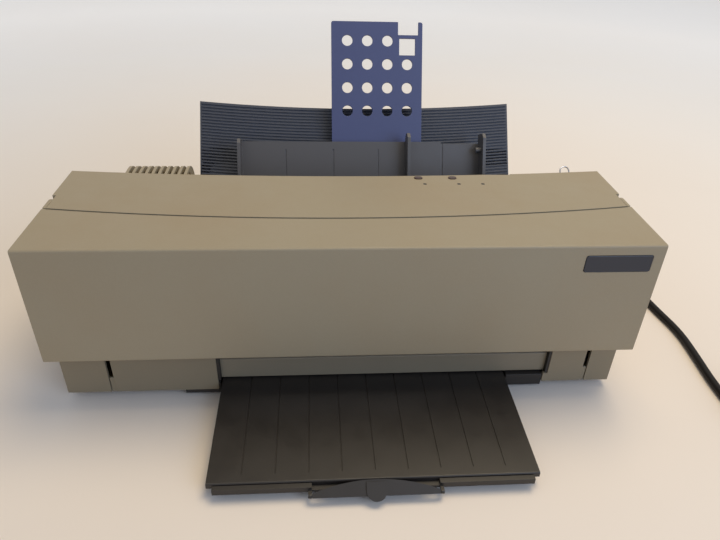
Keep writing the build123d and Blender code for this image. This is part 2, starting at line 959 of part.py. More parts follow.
# Front bezel: lower front face around the paper exit
with BuildPart() as front_bezel:
    block((slot_left_x[1], slot_right_x[0]), (base_front, bezel_back), (base_bottom, base_rim))
    block(
        (slot_left_x[0] + slot_tab_gap, slot_left_x[1]),
        (base_front + slot_tab_gap, bezel_back),
        (base_bottom, base_bottom + slot_tab_height),
    )
    block(
        (slot_right_x[0], slot_right_x[1] - slot_tab_gap),
        (base_front + slot_tab_gap, bezel_back),
        (base_bottom, base_bottom + slot_tab_height),
    )
    block(
        recess_x,
        (base_front - cut_margin, bezel_back + cut_margin),
        (housing_window_top, exit_slot_top),
        mode=Mode.SUBTRACT,
    )
    block(
        (recess_x[0], housing_x[1] + bezel_gap),
        (base_front - cut_margin, bezel_back + cut_margin),
        (base_bottom - cut_margin, housing_window_top + bezel_gap),
        mode=Mode.SUBTRACT,
    )
save(front_bezel, "front_bezel")

# Recessed panel under the paper exit, its top edge running back as the exit sill
panel_x = (recess_x[0] + exit_cheek, recess_x[1] - exit_cheek)
sill_back = behind(exit_roller_depth) - roller_radius - sill_gap
with BuildPart() as exit_panel:
    outline = [
        (panel_y, housing_window_top + bezel_gap),
        (panel_y, exit_slot_bottom),
        (sill_back, sill_height),
        (sill_back, sill_height - panel_wall),
        (panel_y + panel_wall, exit_slot_bottom - panel_wall),
        (panel_y + panel_wall, housing_window_top + bezel_gap),
    ]
    profile(outline, panel_x)
    fillet(exit_panel.edges().filter_by(Axis.X).group_by(Axis.Y)[0].sort_by(Axis.Z)[-1], panel_wall / 2)
save(exit_panel, "exit_panel")

# Black frame of the exit: two cheeks joined by a bar over the slot
with BuildPart() as exit_frame:
    for x in ((recess_x[0], panel_x[0]), (panel_x[1], recess_x[1])):
        outline = [
            (base_front + slot_tab_gap, housing_window_top + bezel_gap),
            (base_front + slot_tab_gap, exit_slot_top),
            (sill_back, exit_slot_top),
            (sill_back, pocket_roof + case_wall),
            (panel_y + panel_wall, pocket_roof + case_wall),
            (panel_y + panel_wall, housing_window_top + bezel_gap),
        ]
        profile(outline, x)
    block(recess_x, (bezel_back, bezel_back + panel_wall), (exit_slot_top - bezel_gap, base_rim - bezel_gap))
save(exit_frame, "exit_frame")


def slant(depth, drop):
    """A side point under the sloping top plane of the tray."""
    rise = (depth - base_front_depth) * tan(radians(tray_slope))
    return (behind(depth), tray_top + rise - drop)


# Housing of the output tray: a shallow box under the base, open to the front
housing_front = base_front + slot_tab_gap / 2
housing_back = housing_front + housing_length
channel_x = (tray_x[0] - tray_side_gap, tray_x[1] + tray_side_gap)
hook_room = tray_hook + tray_side_gap
with BuildPart() as tray_housing:
    block(housing_x, (housing_front, housing_back), (housing_bottom, tray_top))
    block(
        channel_x,
        (housing_front - cut_margin, housing_back - housing_floor),
        (housing_bottom + housing_floor, tray_top + cut_margin),
        mode=Mode.SUBTRACT,
    )
    block(
        (channel_x[0] - hook_room, channel_x[1] + hook_room),
        (housing_front + hook_stop, housing_back - housing_floor),
        (hook_bottom - fit_gap, hook_top),
        mode=Mode.SUBTRACT,
    )
    for x in (
        (housing_x[0] + housing_floor, channel_x[0] - hook_room - housing_floor),
        (channel_x[1] + hook_room + housing_floor, housing_x[1] - housing_floor),
    ):
        block(
            x,
            (housing_front + housing_floor, housing_back - housing_floor),
            (housing_bottom - cut_margin, tray_top - housing_floor),
            mode=Mode.SUBTRACT,
        )
    block(
        (channel_x[0] - hook_room, channel_x[1] + hook_room),
        (housing_back - housing_floor, housing_back),
        (housing_bottom, pocket_roof),
    )
    block(
        (housing_x[0] - cut_margin, recess_x[0] + bezel_gap),
        (housing_front - cut_margin, bezel_back + bezel_gap),
        (base_bottom - bezel_gap, tray_top + cut_margin),
        mode=Mode.SUBTRACT,
    )
save(tray_housing, "tray_housing")

# Output tray
tray_back = base_front_depth + tray_inside
lip_front = -tray_reach
with BuildPart() as output_tray:
    profile(
        [
            slant(lip_front, 0),
            slant(tray_back, 0),
            slant(tray_back, tray_plate),
            slant(lip_front, tray_plate),
        ],
        tray_x,
    )
    profile(
        [
            slant(lip_front, 0),
            slant(lip_front + tray_lip, 0),
            slant(lip_front + tray_lip, tray_lip),
            slant(lip_front, tray_lip),
        ],
        tray_x,
    )
    for x in ((tray_x[0], tray_x[0] + tray_rail), (tray_x[1] - tray_rail, tray_x[1])):
        profile(
            [
                slant(lip_front, 0),
                slant(tray_back, 0),
                slant(tray_back, tray_rail_height),
                slant(lip_front + tray_rail, tray_rail_height),
                slant(lip_front, tray_rail_height - tray_rail),
            ],
            x,
        )
    for x in ((tray_x[0] - tray_hook, tray_x[0]), (tray_x[1], tray_x[1] + tray_hook)):
        profile(
            [
                slant(tray_back - tray_hook_length, tray_rail_height - tray_hook_height),
                slant(tray_back, tray_rail_height - tray_hook_height),
                slant(tray_back, tray_rail_height),
                slant(tray_back - tray_hook_length, tray_rail_height),
            ],
            x,
        )
    for number in range(tray_groove_count):
        x = sum(tray_x) / 2 + (number - (tray_groove_count - 1) / 2) * tray_groove_pitch
        profile(
            [
                slant(lip_front + 2 * tray_lip, -cut_margin),
                slant(tray_back + cut_margin, -cut_margin),
                slant(tray_back + cut_margin, tray_groove_cut),
                slant(lip_front + 2 * tray_lip, tray_groove_cut),
            ],
            (x - tray_groove_width / 2, x + tray_groove_width / 2),
            mode=Mode.SUBTRACT,
        )
    front_edges = output_tray.edges().filter_by(Axis.X).group_by(Axis.Y)[0]
    fillet(front_edges.sort_by(Axis.Z)[-1], tray_lip / 3)
save(output_tray, "output_tray")

# Tray extension under the plate, with a notch in its raised lip and two arms that carry the stopper
extension_x = (tray_x[0] + tray_rail + fit_gap, tray_x[1] - tray_rail - fit_gap)
extension_front = -(tray_reach + extension_reach)
extension_top = tray_lip + fit_gap
extension_bottom = extension_top + extension_plate
stopper_x = (stopper_center_x - stopper_width / 2, stopper_center_x + stopper_width / 2)
notch_x = (stopper_x[0] - fit_gap, stopper_x[1] + fit_gap)
barrel_drop = stopper_length - stopper_barrel_radius
pin_y = behind(-stopper_reach) - barrel_drop * stopper_cos + stopper_barrel_radius * stopper_sin
pin_z = stopper_height - barrel_drop * stopper_sin - stopper_barrel_radius * stopper_cos
with BuildPart() as tray_extension:
    profile(
        [
            slant(-tray_reach - fit_gap, extension_top),
            slant(extension_end, extension_top),
            slant(extension_end, extension_bottom),
            slant(extension_front, extension_bottom),
            slant(extension_front, extension_bottom - extension_lip),
            slant(-tray_reach - fit_gap, extension_bottom - extension_lip),
        ],
        extension_x,
    )
    profile(
        [
            slant(-tray_reach, extension_top),
            slant(extension_front - cut_margin, extension_top),
            slant(extension_front - cut_margin, -extension_lip),
            slant(-tray_reach, -extension_lip),
        ],
        notch_x,
        mode=Mode.SUBTRACT,
    )
    for edge, outward in ((notch_x[0], -1), (notch_x[1], 1)):
        arm = sorted((edge, edge + outward * stopper_arm))
        block(
            arm,
            (pin_y, behind(extension_front) + stopper_arm / 2),
            (pin_z - stopper_barrel_radius, pin_z + stopper_barrel_radius),
        )
        rod(stopper_barrel_radius, arm, pin_y, pin_z)
        rod(stopper_pin_radius, sorted((edge, edge - outward * (fit_gap + stopper_pin_length))), pin_y, pin_z)
save(tray_extension, "tray_extension")

# Stopper: a leaning flap with a low arched top and a proud finger tab, which tips up on its lower corners
stopper_plane = Plane(
    origin=(stopper_center_x, behind(-stopper_reach), stopper_height),
    x_dir=(1, 0, 0),
    z_dir=(0, -stopper_sin, stopper_cos),
)
with BuildPart() as tray_stopper:
    half = stopper_width / 2
    tab_radius = stopper_tab_width / 2
    tab_end = -stopper_length - stopper_tab_length
    with BuildSketch(stopper_plane):
        with BuildLine():
            ThreePointArc((-half, -stopper_arch), (0, 0), (half, -stopper_arch))
            Polyline(
                (half, -stopper_arch),
                (half, -stopper_length),
                (-half, -stopper_length),
                (-half, -stopper_arch),
            )
        make_face()
    extrude(amount=-stopper_thickness)
    with BuildSketch(stopper_plane.offset(-stopper_thickness)):
        with BuildLine():
            Polyline(
                (-tab_radius, tab_end + tab_radius),
                (-tab_radius, -stopper_tab_start),
                (tab_radius, -stopper_tab_start),
                (tab_radius, tab_end + tab_radius),
            )
            ThreePointArc(
                (tab_radius, tab_end + tab_radius),
                (0, tab_end),
                (-tab_radius, tab_end + tab_radius),
            )
        make_face()
    extrude(amount=stopper_thickness + stopper_tab_proud)
    for edge, inward in ((stopper_x[0], 1), (stopper_x[1], -1)):
        rod(stopper_barrel_radius, sorted((edge, edge + inward * stopper_barrel_length)), pin_y, pin_z)
        bore = sorted((edge - inward * cut_margin, edge + inward * (stopper_pin_length + fit_gap)))
        rod(stopper_pin_radius + running_gap, bore, pin_y, pin_z, mode=Mode.SUBTRACT)
save(tray_stopper, "tray_stopper")


def leaned(points, x, mode=Mode.ADD):
    """A side outline of (up the hopper, off its face) points, carried across X."""
    where = Plane(origin=(x[0], hopper_y, case_height), x_dir=(0, lean_cos, lean_sin), z_dir=(1, 0, 0))
    with BuildSketch(where) as section:
        with BuildLine():
            Polyline(*points, close=True)
        make_face()
    extrude(section.sketch, amount=x[1] - x[0], mode=mode)


def leaned_block(x, up, off, mode=Mode.ADD):
    """A box in the hopper's own directions."""
    points = [(up[0], off[0]), (up[1], off[0]), (up[1], off[1]), (up[0], off[1])]
    leaned(points, x, mode)


def hopper_face(off):
    """The hopper's face plane, raised by a distance off it."""
    where = (0, hopper_y - off * lean_sin, case_height + off * lean_cos)
    return Plane(origin=where, x_dir=(1, 0, 0), z_dir=(0, -lean_sin, lean_cos))


def hopper_point(up, off):
    """Y and Z of a place given up the hopper and off its face."""
    return (hopper_y + up * lean_cos - off * lean_sin, case_height + up * lean_sin + off * lean_cos)


hopper_y = behind(hopper_depth)
guide_slot_x = (
    guide_x + guide_travel[0] - guide_slot_end,
    guide_x + guide_travel[1] + guide_slot_end,
)
press_x = (press_center_x - press_width / 2, press_center_x + press_width / 2)
press_window_x = (press_x[0] - press_gap, press_x[1] + press_gap)
press_pin_y, press_pin_z = hopper_point(-press_pin_drop, press_pin_off)
pickup_y, pickup_z = hopper_point(-pickup_drop, pickup_off)
right_wall = (hopper_x[1], hopper_x[1] + hopper_wall)
left_wall = (hopper_x[0] - hopper_wall, hopper_x[0])

# Paper hopper: a leaning plate with side walls, rails for the paper support behind, and two legs
with BuildPart() as paper_hopper:
    leaned_block((hopper_x[0], hopper_step_x), (-hopper_length, 0), (-hopper_plate, 0))
    leaned_block((hopper_step_x, hopper_x[1]), (-hopper_length, -hopper_step_drop), (-hopper_plate, 0))
    with BuildSketch(hopper_face(0)):
        for x in hopper_groove_x:
            with Locations((x, -groove_top)):
                Rectangle(groove_width, groove_length, align=(Align.CENTER, Align.MAX))
        with Locations((hopper_step_x, 0)):
            Rectangle(2 * groove_width, groove_length, align=(Align.MIN, Align.MAX))
    extrude(amount=-groove_cut, mode=Mode.SUBTRACT)
    for x, rise in ((left_wall, hopper_left_rise), (right_wall, hopper_right_rise)):
        leaned(
            [
                (-hopper_length, -hopper_plate),
                (rise, -hopper_plate),
                (rise, hopper_wall_proud - wall_corner),
                (rise - wall_corner, hopper_wall_proud),
                (wall_step_drop, hopper_wall_proud),
                (wall_step_drop - wall_corner, low_wall_proud),
                (-hopper_length, low_wall_proud),
            ],
            x,
        )
    for x in ((left_wall[0], left_wall[1] + leg_width), (right_wall[0] - leg_width, right_wall[1])):
        leaned_block(
            x,
            (-hopper_length, -hopper_length + leg_shelf),
            (-hopper_plate - leg_depth, -hopper_plate),
        )
        leg_y, leg_z = hopper_point(-hopper_length, -hopper_plate)
        block(x, (leg_y, leg_y + leg_depth), (base_floor, leg_z + leg_shelf / 2))
    leaned_block(
        press_window_x,
        (-hopper_length - cut_margin, press_window_top),
        (-hopper_plate - cut_margin, cut_margin),
        mode=Mode.SUBTRACT,
    )
    for x in (
        (press_window_x[0] - press_boss, press_window_x[0]),
        (press_window_x[1], press_window_x[1] + press_boss),
    ):
        rod(press_pin_radius + press_boss_wall, x, press_pin_y, press_pin_z)
        rod(press_pin_radius + running_gap, x, press_pin_y, press_pin_z, mode=Mode.SUBTRACT)
    with BuildSketch(hopper_face(cut_margin)):
        with Locations((sum(guide_slot_x) / 2, -guide_rail_drop)):
            SlotOverall(guide_slot_x[1] - guide_slot_x[0], guide_slot_width)
    extrude(amount=-hopper_plate - 2 * cut_margin, mode=Mode.SUBTRACT)
    back = -support_setback - support_plate - fit_gap
    for side in (-1, 1):
        edge = support_center_x + side * (support_width / 2 + fit_gap)
        web = sorted((edge, edge + side * support_rail))
        lips = sorted((edge + side * support_rail, edge - side * support_rail))
        leaned_block(web, support_rail_up, (back - rail_wall, -hopper_plate))
        leaned_block(lips, support_rail_up, (back - rail_wall, back))
        ahead = fit_gap - support_setback
        leaned_block(lips, support_rail_up, (ahead, ahead + rail_wall))
    knob_y, knob_z = hopper_point(-knob_drop, hopper_wall_proud / 2)
    rod(knob_radius, (hopper_x[1] - knob_length, hopper_x[1]), knob_y, knob_z)
save(paper_hopper, "paper_hopper")

# Edge guide: a fin with a foot that slides in the hopper's slot
guide_sides = (guide_x - guide_thickness / 2, guide_x + guide_thickness / 2)
with BuildPart() as edge_guide:
    leaned(
        [
            (guide_rise - guide_length, fit_gap),
            (guide_rise - wall_corner, fit_gap),
            (guide_rise, fit_gap + wall_corner),
            (guide_rise, hopper_wall_proud - wall_corner),
            (guide_rise - wall_corner, hopper_wall_proud),
            (guide_rise - guide_length + wall_corner, hopper_wall_proud),
            (guide_rise - guide_length, hopper_wall_proud - wall_corner),
        ],
        guide_sides,
    )
    leaned_block(
        (guide_x - guide_foot, guide_x + guide_foot),
        (-guide_rail_drop - guide_foot, -guide_rail_drop + guide_foot),
        (fit_gap, fit_gap + groove_width),
    )
    with BuildSketch(hopper_face(fit_gap)):
        with Locations((guide_x, -guide_rail_drop)):
            Circle(guide_slot_width / 2 - fit_gap)
    extrude(amount=-hopper_plate - 2 * fit_gap - groove_width)
    leaned_block(
        (guide_x - guide_foot, guide_x + guide_foot),
        (-guide_rail_drop - guide_foot / 2, -guide_rail_drop + guide_foot / 2),
        (-hopper_plate - fit_gap - groove_width, -hopper_plate - fit_gap),
    )
save(edge_guide, "edge_guide")

# Pressure plate that lifts the sheets to the pickup tyres
with BuildPart() as pressure_plate:
    leaned_block(
        press_x,
        (press_top - press_length, press_top),
        (-press_recess - press_thickness, -press_recess),
    )
    rod(
        press_pin_radius,
        (press_window_x[0] - press_boss, press_window_x[1] + press_boss),
        press_pin_y,
        press_pin_z,
    )
    for x in pickup_tyre_x:
        leaned_block(
            (x - pad_width / 2, x + pad_width / 2),
            (-pickup_drop - pad_width / 2, -pickup_drop + pad_width / 2),
            (-press_recess, -press_recess + fit_gap),
        )
save(pressure_plate, "pressure_plate")

# Perforated paper support with a window, a notch and a rail at the right
with BuildPart() as paper_support:
    with BuildSketch(hopper_face(-support_setback)):
        with Locations((support_center_x, (support_rise - support_hidden) / 2)):
            RectangleRounded(support_width, support_rise + support_hidden, support_corner)
        for x in support_hole_x:
            for up in support_hole_rise:
                if (x, up) != (support_hole_x[-1], support_hole_rise[-1]):
                    with Locations((x, up)):
                        Circle(support_hole_radius, mode=Mode.SUBTRACT)
        with Locations((sum(support_notch_x) / 2, support_notch_rise)):
            Rectangle(
                support_notch_x[1] - support_notch_x[0],
                support_rise,
                align=(Align.CENTER, Align.MIN),
                mode=Mode.SUBTRACT,
            )
        with Locations((sum(support_window_x) / 2, sum(support_window_rise) / 2)):
            Rectangle(
                support_window_x[1] - support_window_x[0],
                support_window_rise[1] - support_window_rise[0],
                mode=Mode.SUBTRACT,
            )
    extrude(amount=-support_plate)
save(paper_support, "paper_support")


def lid_plane(x):
    """Side plane of the feeder cover, its X running up the cover and its Y off the face."""
    return Plane(
        origin=(x, behind(lid_depth), lid_height),
        x_dir=(0, lid_cos, lid_sin),
        z_dir=(1, 0, 0),
    )


def lid_face(off):
    """Face plane of the feeder cover, raised by a distance off it."""
    where = (0, behind(lid_depth) - off * lid_sin, lid_height + off * lid_cos)
    return Plane(origin=where, x_dir=(1, 0, 0), z_dir=(0, -lid_sin, lid_cos))


# Ribbed feeder cover, leaning open behind the hopper
lid_middle = sum(lid_x) / 2
rib_x = (lid_x[0] + lid_border, lid_x[1] - lid_border)
with BuildPart() as feeder_cover:
    with BuildSketch(lid_face(0)):
        with BuildLine():
            ThreePointArc((lid_x[0], lid_rise), (lid_middle, lid_rise - lid_bow), (lid_x[1], lid_rise))
            Polyline((lid_x[1], lid_rise), (lid_x[1], -lid_drop), (lid_x[0], -lid_drop), (lid_x[0], lid_rise))
        make_face()
    extrude(amount=-lid_plate)
    for number in range(rib_count):
        top = lid_rise - rib_first - number * rib_pitch
        with BuildSketch(lid_face(-fit_gap)):
            with BuildLine():
                ThreePointArc((rib_x[0], top), (lid_middle, top - lid_bow), (rib_x[1], top))
                Line((rib_x[1], top), (rib_x[1], top - rib_width))
                ThreePointArc(
                    (rib_x[1], top - rib_width),
                    (lid_middle, top - lid_bow - rib_width),
                    (rib_x[0], top - rib_width),
                )
                Line((rib_x[0], top - rib_width), (rib_x[0], top))
            make_face()
        extrude(amount=rib_height + fit_gap)
    for side, inner in ((lid_x[0], 1), (lid_x[1], -1)):
        arm = sorted((side, side + inner * lid_arm))
        with BuildSketch(lid_plane(arm[0])):
            with Locations((-lid_drop, -lid_pin_back)):
                Circle(lid_pin_radius + lid_arm_wall)
                Rectangle(
                    2 * (lid_pin_radius + lid_arm_wall),
                    lid_pin_back - lid_plate / 2,
                    align=(Align.CENTER, Align.MIN),
                )
        extrude(amount=lid_arm)
        pin = sorted((side + inner * lid_arm, side - inner * (lid_gap + lid_lug)))
        rod(lid_pin_radius, pin, lid_pin_y, lid_pin_z)
save(feeder_cover, "feeder_cover")


def rod_y(radius, x, z, y, mode=Mode.ADD):
    """A round bar along Y."""
    with BuildSketch(Plane.XZ.offset(-y[1])) as section:
        with Locations((x, z)):
            Circle(radius)
    extrude(section.sketch, amount=y[1] - y[0], mode=mode)


def gear_outline(teeth, turn):
    """Outline of a gear about its own centre, with one tooth centred on a direction."""
    pitch_circle = gear_module * teeth / 2
    steps = (
        (pitch_circle - gear_root * gear_module, -tooth_root_share),
        (pitch_circle, -tooth_pitch_share),
        (pitch_circle + gear_tip * gear_module, -tooth_tip_share),
        (pitch_circle + gear_tip * gear_module, tooth_tip_share),
        (pitch_circle, tooth_pitch_share),
        (pitch_circle - gear_root * gear_module, tooth_root_share),
    )
    points = []
    for tooth in range(teeth):
        for radius, share in steps:
            angle = radians(turn + 360 * (tooth + share / 2) / teeth)
            points.append((radius * cos(angle), radius * sin(angle)))
    return points


def meshed_turn(turn, teeth, next_teeth, direction):
    """Turn of the next gear so that its gap meets the tooth of this one."""
    return direction + 180 + 180 / next_teeth - (turn - direction) * teeth / next_teeth


def gear(teeth, turn, axis, bore):
    """A gear on the outside of the left plate."""
    with BuildSketch(Plane.YZ.offset(gear_x[0])) as section:
        with Locations(axis):
            with BuildLine():
                Polyline(*[(axis[0] + y, axis[1] + z) for y, z in gear_outline(teeth, turn)], close=True)
            make_face()
            Circle(bore, mode=Mode.SUBTRACT)
    extrude(section.sketch, amount=gear_width)


left_plate = (side_plate_x[0], side_plate_x[0] + side_plate)
right_plate = (side_plate_x[1], side_plate_x[1] + side_plate)
inside_x = (left_plate[1], right_plate[0])
gear_x = (left_plate[0] - gear_gap - gear_width, left_plate[0] - gear_gap)
shaft_x = (gear_x[0] - shaft_end, right_plate[1] + shaft_end)
roller_z = paper_height - roller_radius
feed_axis = (behind(feed_roller_depth), roller_z)
exit_axis = (behind(exit_roller_depth), roller_z)
idler_axis = ((feed_axis[0] + exit_axis[0]) / 2, roller_z)
pickup_way = atan2(pickup_z - feed_axis[1], pickup_y - feed_axis[0])
pickup_reach = gear_module * (feed_teeth + pickup_teeth) / 2
pickup_axis = (
    feed_axis[0] + pickup_reach * cos(pickup_way),
    feed_axis[1] + pickup_reach * sin(pickup_way),
)
pinion_reach = gear_module * (feed_teeth + pinion_teeth) / 2
pinion_axis = (
    feed_axis[0] + pinion_reach * cos(radians(pinion_angle)),
    feed_axis[1] + pinion_reach * sin(radians(pinion_angle)),
)
carriage_axis = (behind(carriage_shaft_depth), carriage_shaft_height)
pinch_axis = (feed_axis[0], feed_axis[1] + roller_radius + pinch_radius + pinch_gap)
plate_outline = [(behind(depth), z) for depth, z in plate_corners]
belt_y = (behind(belt_depth), behind(belt_depth) + belt_width)
bracket_y = (belt_y[1] + bracket_gap, belt_y[1] + bracket_gap + side_plate)
pin_front = belt_y[0] - bracket_gap


def side_plate_body(plate):
    """A bearing plate of the mechanism with its foot and shaft holes."""
    profile(plate_outline, plate)
    for axis in (feed_axis, exit_axis, pickup_axis):
        rod(shaft_radius + running_gap, plate, axis[0], axis[1], mode=Mode.SUBTRACT)
    rod(carriage_shaft_radius, plate, carriage_axis[0], carriage_axis[1], mode=Mode.SUBTRACT)


with BuildPart() as left_side_plate:
    side_plate_body(left_plate)
    foot = (left_plate[1], left_plate[1] + plate_foot)
    block(foot, (behind(foot_span[0]), behind(foot_span[1])), (base_floor, base_floor + side_plate))
    rod(idler_stud_radius, (gear_x[0] - shaft_end, left_plate[1]), idler_axis[0], idler_axis[1])
    rod(pinion_hole_radius, left_plate, pinion_axis[0], pinion_axis[1], mode=Mode.SUBTRACT)
    block((left_plate[1], bracket_end - pulley_x), bracket_y, bracket_z)
    rod_y(pulley_pin_radius, -pulley_x, pulley_height, (pin_front, bracket_y[1]))
save(left_side_plate, "left_side_plate")

with BuildPart() as right_side_plate:
    side_plate_body(right_plate)
    foot = (right_plate[0] - plate_foot, right_plate[0])
    block(foot, (behind(foot_span[0]), behind(foot_span[1])), (base_floor, base_floor + side_plate))
save(right_side_plate, "right_side_plate")

feed_turn = 0
idler_turn = meshed_turn(feed_turn, feed_teeth, idler_teeth, 180)
exit_turn = meshed_turn(idler_turn, idler_teeth, feed_teeth, 180)
pickup_turn = meshed_turn(feed_turn, feed_teeth, pickup_teeth, degrees(pickup_way))
pinion_turn = meshed_turn(feed_turn, feed_teeth, pinion_teeth, pinion_angle)

with BuildPart() as feed_roller:
    rod(shaft_radius, shaft_x, feed_axis[0], feed_axis[1])
save(feed_roller, "feed_roller")

with BuildPart() as feed_tyres:
    for x in tyre_x:
        rod(roller_radius, (x - tyre_width / 2, x + tyre_width / 2), feed_axis[0], feed_axis[1])
    rod(shaft_radius, shaft_x, feed_axis[0], feed_axis[1], mode=Mode.SUBTRACT)
save(feed_tyres, "feed_tyres")

with BuildPart() as feed_gear:
    gear(feed_teeth, feed_turn, feed_axis, shaft_radius)
save(feed_gear, "feed_gear")

with BuildPart() as idler_gear:
    gear(idler_teeth, idler_turn, idler_axis, idler_stud_radius + running_gap)
save(idler_gear, "idler_gear")

with BuildPart() as exit_roller:
    rod(shaft_radius, shaft_x, exit_axis[0], exit_axis[1])
    for x in tyre_x:
        rod(roller_radius, (x - tyre_width / 2, x + tyre_width / 2), exit_axis[0], exit_axis[1])
save(exit_roller, "exit_roller")

with BuildPart() as exit_gear:
    gear(feed_teeth, exit_turn, exit_axis, shaft_radius)
save(exit_gear, "exit_gear")

with BuildPart() as pickup_roller:
    rod(shaft_radius, shaft_x, pickup_axis[0], pickup_axis[1])
    for x in pickup_tyre_x:
        sides = (x - pickup_tyre_width / 2, x + pickup_tyre_width / 2)
        rod(pickup_radius, sides, pickup_axis[0], pickup_axis[1])
save(pickup_roller, "pickup_roller")

with BuildPart() as pickup_gear:
    gear(pickup_teeth, pickup_turn, pickup_axis, shaft_radius)
save(pickup_gear, "pickup_gear")

with BuildPart() as feed_pinion:
    gear(pinion_teeth, pinion_turn, pinion_axis, motor_shaft_radius + running_gap)
save(feed_pinion, "feed_pinion")

with BuildPart() as feed_motor:
    body = (left_plate[1], left_plate[1] + feed_motor_length)
    rod(feed_motor_radius, body, pinion_axis[0], pinion_axis[1])
    rod(motor_shaft_radius, (gear_x[0] - motor_shaft_end, left_plate[1]), pinion_axis[0], pinion_axis[1])
    flange = (left_plate[1], left_plate[1] + side_plate)
    block(
        flange,
        (pinion_axis[0] - flange_half, pinion_axis[0] + flange_half),
        (pinion_axis[1] - flange_height / 2, pinion_axis[1] + flange_height / 2),
    )
save(feed_motor, "feed_motor")

with BuildPart() as pinch_rollers:
    rod(pinch_shaft_radius, (pinch_x[0], pinch_x[-1]), pinch_axis[0], pinch_axis[1])
    for x in tyre_x:
        rod(pinch_radius, (x - tyre_width / 2, x + tyre_width / 2), pinch_axis[0], pinch_axis[1])
save(pinch_rollers, "pinch_rollers")

pinch_bar_y = (
    behind(feed_roller_depth + pinch_bar_setback),
    behind(feed_roller_depth + pinch_bar_setback + pinch_bar_thickness),
)
with BuildPart() as pinch_bracket:
    block(inside_x, pinch_bar_y, pinch_bar_height)
    for x in pinch_x:
        block(
            (x - pinch_finger / 2, x + pinch_finger / 2),
            (behind(feed_roller_depth - pinch_finger_ahead), pinch_bar_y[1]),
            (pinch_axis[1] - pinch_shaft_radius - pinch_gap, pinch_bar_height[1]),
        )
    ends = (pinch_x[0] - pinch_finger, pinch_x[-1] + pinch_finger)
    rod(pinch_shaft_radius + running_gap, ends, pinch_axis[0], pinch_axis[1], mode=Mode.SUBTRACT)
save(pinch_bracket, "pinch_bracket")

platen_y = (behind(platen_depth[0]), behind(platen_depth[1]))
platen_top = paper_height - pad_clearance - platen_pad
with BuildPart() as platen_bar:
    block(inside_x, platen_y, (platen_top - platen_height, platen_top))
    block(
        (inside_x[0] - cut_margin, inside_x[1] + cut_margin),
        (platen_y[0] + platen_pad, platen_y[1] - platen_pad),
        (platen_top - platen_height - cut_margin, platen_top - platen_pad),
        mode=Mode.SUBTRACT,
    )
save(platen_bar, "platen_bar")

paper_x = (paper_center_x - paper_width / 2, paper_center_x + paper_width / 2)
with BuildPart() as platen_pad_strip:
    block(
        paper_x,
        (platen_y[0] + pad_inset, platen_y[1] - pad_inset),
        (platen_top, platen_top + platen_pad),
    )
save(platen_pad_strip, "platen_pad")

guide_z = (paper_height - guide_below - guide_sheet, paper_height - guide_below)
with BuildPart() as paper_guide:
    for near, far in guide_spans:
        block(inside_x, (behind(near), behind(far)), guide_z)
        block(
            inside_x,
            (behind(far) - guide_sheet, behind(far)),
            (guide_z[0] - guide_flange, guide_z[1]),
        )
save(paper_guide, "paper_guide")

with BuildPart() as carriage_shaft:
    ends = (left_plate[0] - shaft_end, right_plate[1] + shaft_end)
    rod(carriage_shaft_radius, ends, carriage_axis[0], carriage_axis[1])
save(carriage_shaft, "carriage_shaft")

rail_y = (behind(front_rail_depth), behind(front_rail_depth) + side_plate)
with BuildPart() as front_rail:
    block(inside_x, rail_y, front_rail_height)
    block(
        inside_x,
        (rail_y[0] - rail_flange, rail_y[1]),
        (front_rail_height[1] - side_plate, front_rail_height[1]),
    )
save(front_rail, "front_rail")

# Print carriage at its rest place on the right
carriage_x = (carriage_rest_x - carriage_width / 2, carriage_rest_x + carriage_width / 2)
carriage_y = (behind(carriage_depth[0]), behind(carriage_depth[1]))
head_x = (carriage_x[0] + carriage_side, carriage_x[1] - carriage_side)
head_y = behind(head_pivot_depth)
arm_x = (carriage_rest_x - clamp_half, carriage_rest_x + clamp_half)
belt_under = pulley_height - pulley_radius - running_gap - belt_thickness
with BuildPart() as print_carriage:
    block(carriage_x, carriage_y, carriage_height)
    block(
        head_x,
        (carriage_y[0] + carriage_side / 2, head_y + head_room),
        (carriage_height[0] - cut_margin, head_ceiling),
        mode=Mode.SUBTRACT,
    )
    block(
        arm_x,
        (carriage_y[1] - carriage_side, belt_y[1]),
        (belt_under - clamp_height, belt_under - fit_gap),
    )
    block(
        arm_x,
        (carriage_y[1] + lip_gap, carriage_y[1] + lip_gap + side_plate),
        (belt_under - clamp_height, carriage_height[1] + clip_height),
    )
    hook = [
        (carriage_y[0], hook_low),
        (rail_y[0] - hook_front, hook_low),
        (rail_y[0] - hook_front, front_rail_height[0] + hook_overlap),
        (rail_y[0] - rail_gap, front_rail_height[0] + hook_overlap),
        (rail_y[0] - rail_gap, front_rail_height[0] - rail_gap),
        (rail_y[1] + rail_gap, front_rail_height[0] - rail_gap),
        (rail_y[1] + rail_gap, carriage_height[1]),
        (carriage_y[0], carriage_height[1]),
    ]
    profile(hook, arm_x)
    rod(
        carriage_shaft_radius + running_gap,
        carriage_x,
        carriage_axis[0],
        carriage_axis[1],
        mode=Mode.SUBTRACT,
    )
    pins = (head_x[0] - head_pin_length, head_x[1] + head_pin_length)
    rod(head_pin_radius + running_gap, pins, head_y, head_pivot_height, mode=Mode.SUBTRACT)
save(print_carriage, "print_carriage")

with BuildPart() as thermal_head:
    block(
        (head_x[0] + head_gap, head_x[1] - head_gap),
        (behind(head_front_depth), head_y + head_pin_radius),
        (head_pivot_height - head_pin_radius, head_pivot_height + head_pin_radius),
    )
    block(
        (carriage_rest_x - head_width / 2, carriage_rest_x + head_width / 2),
        (behind(head_front_depth), behind(head_front_depth) + head_length),
        (head_bottom, head_pivot_height),
    )
    rod(head_pin_radius, pins, head_y, head_pivot_height)
save(thermal_head, "thermal_head")

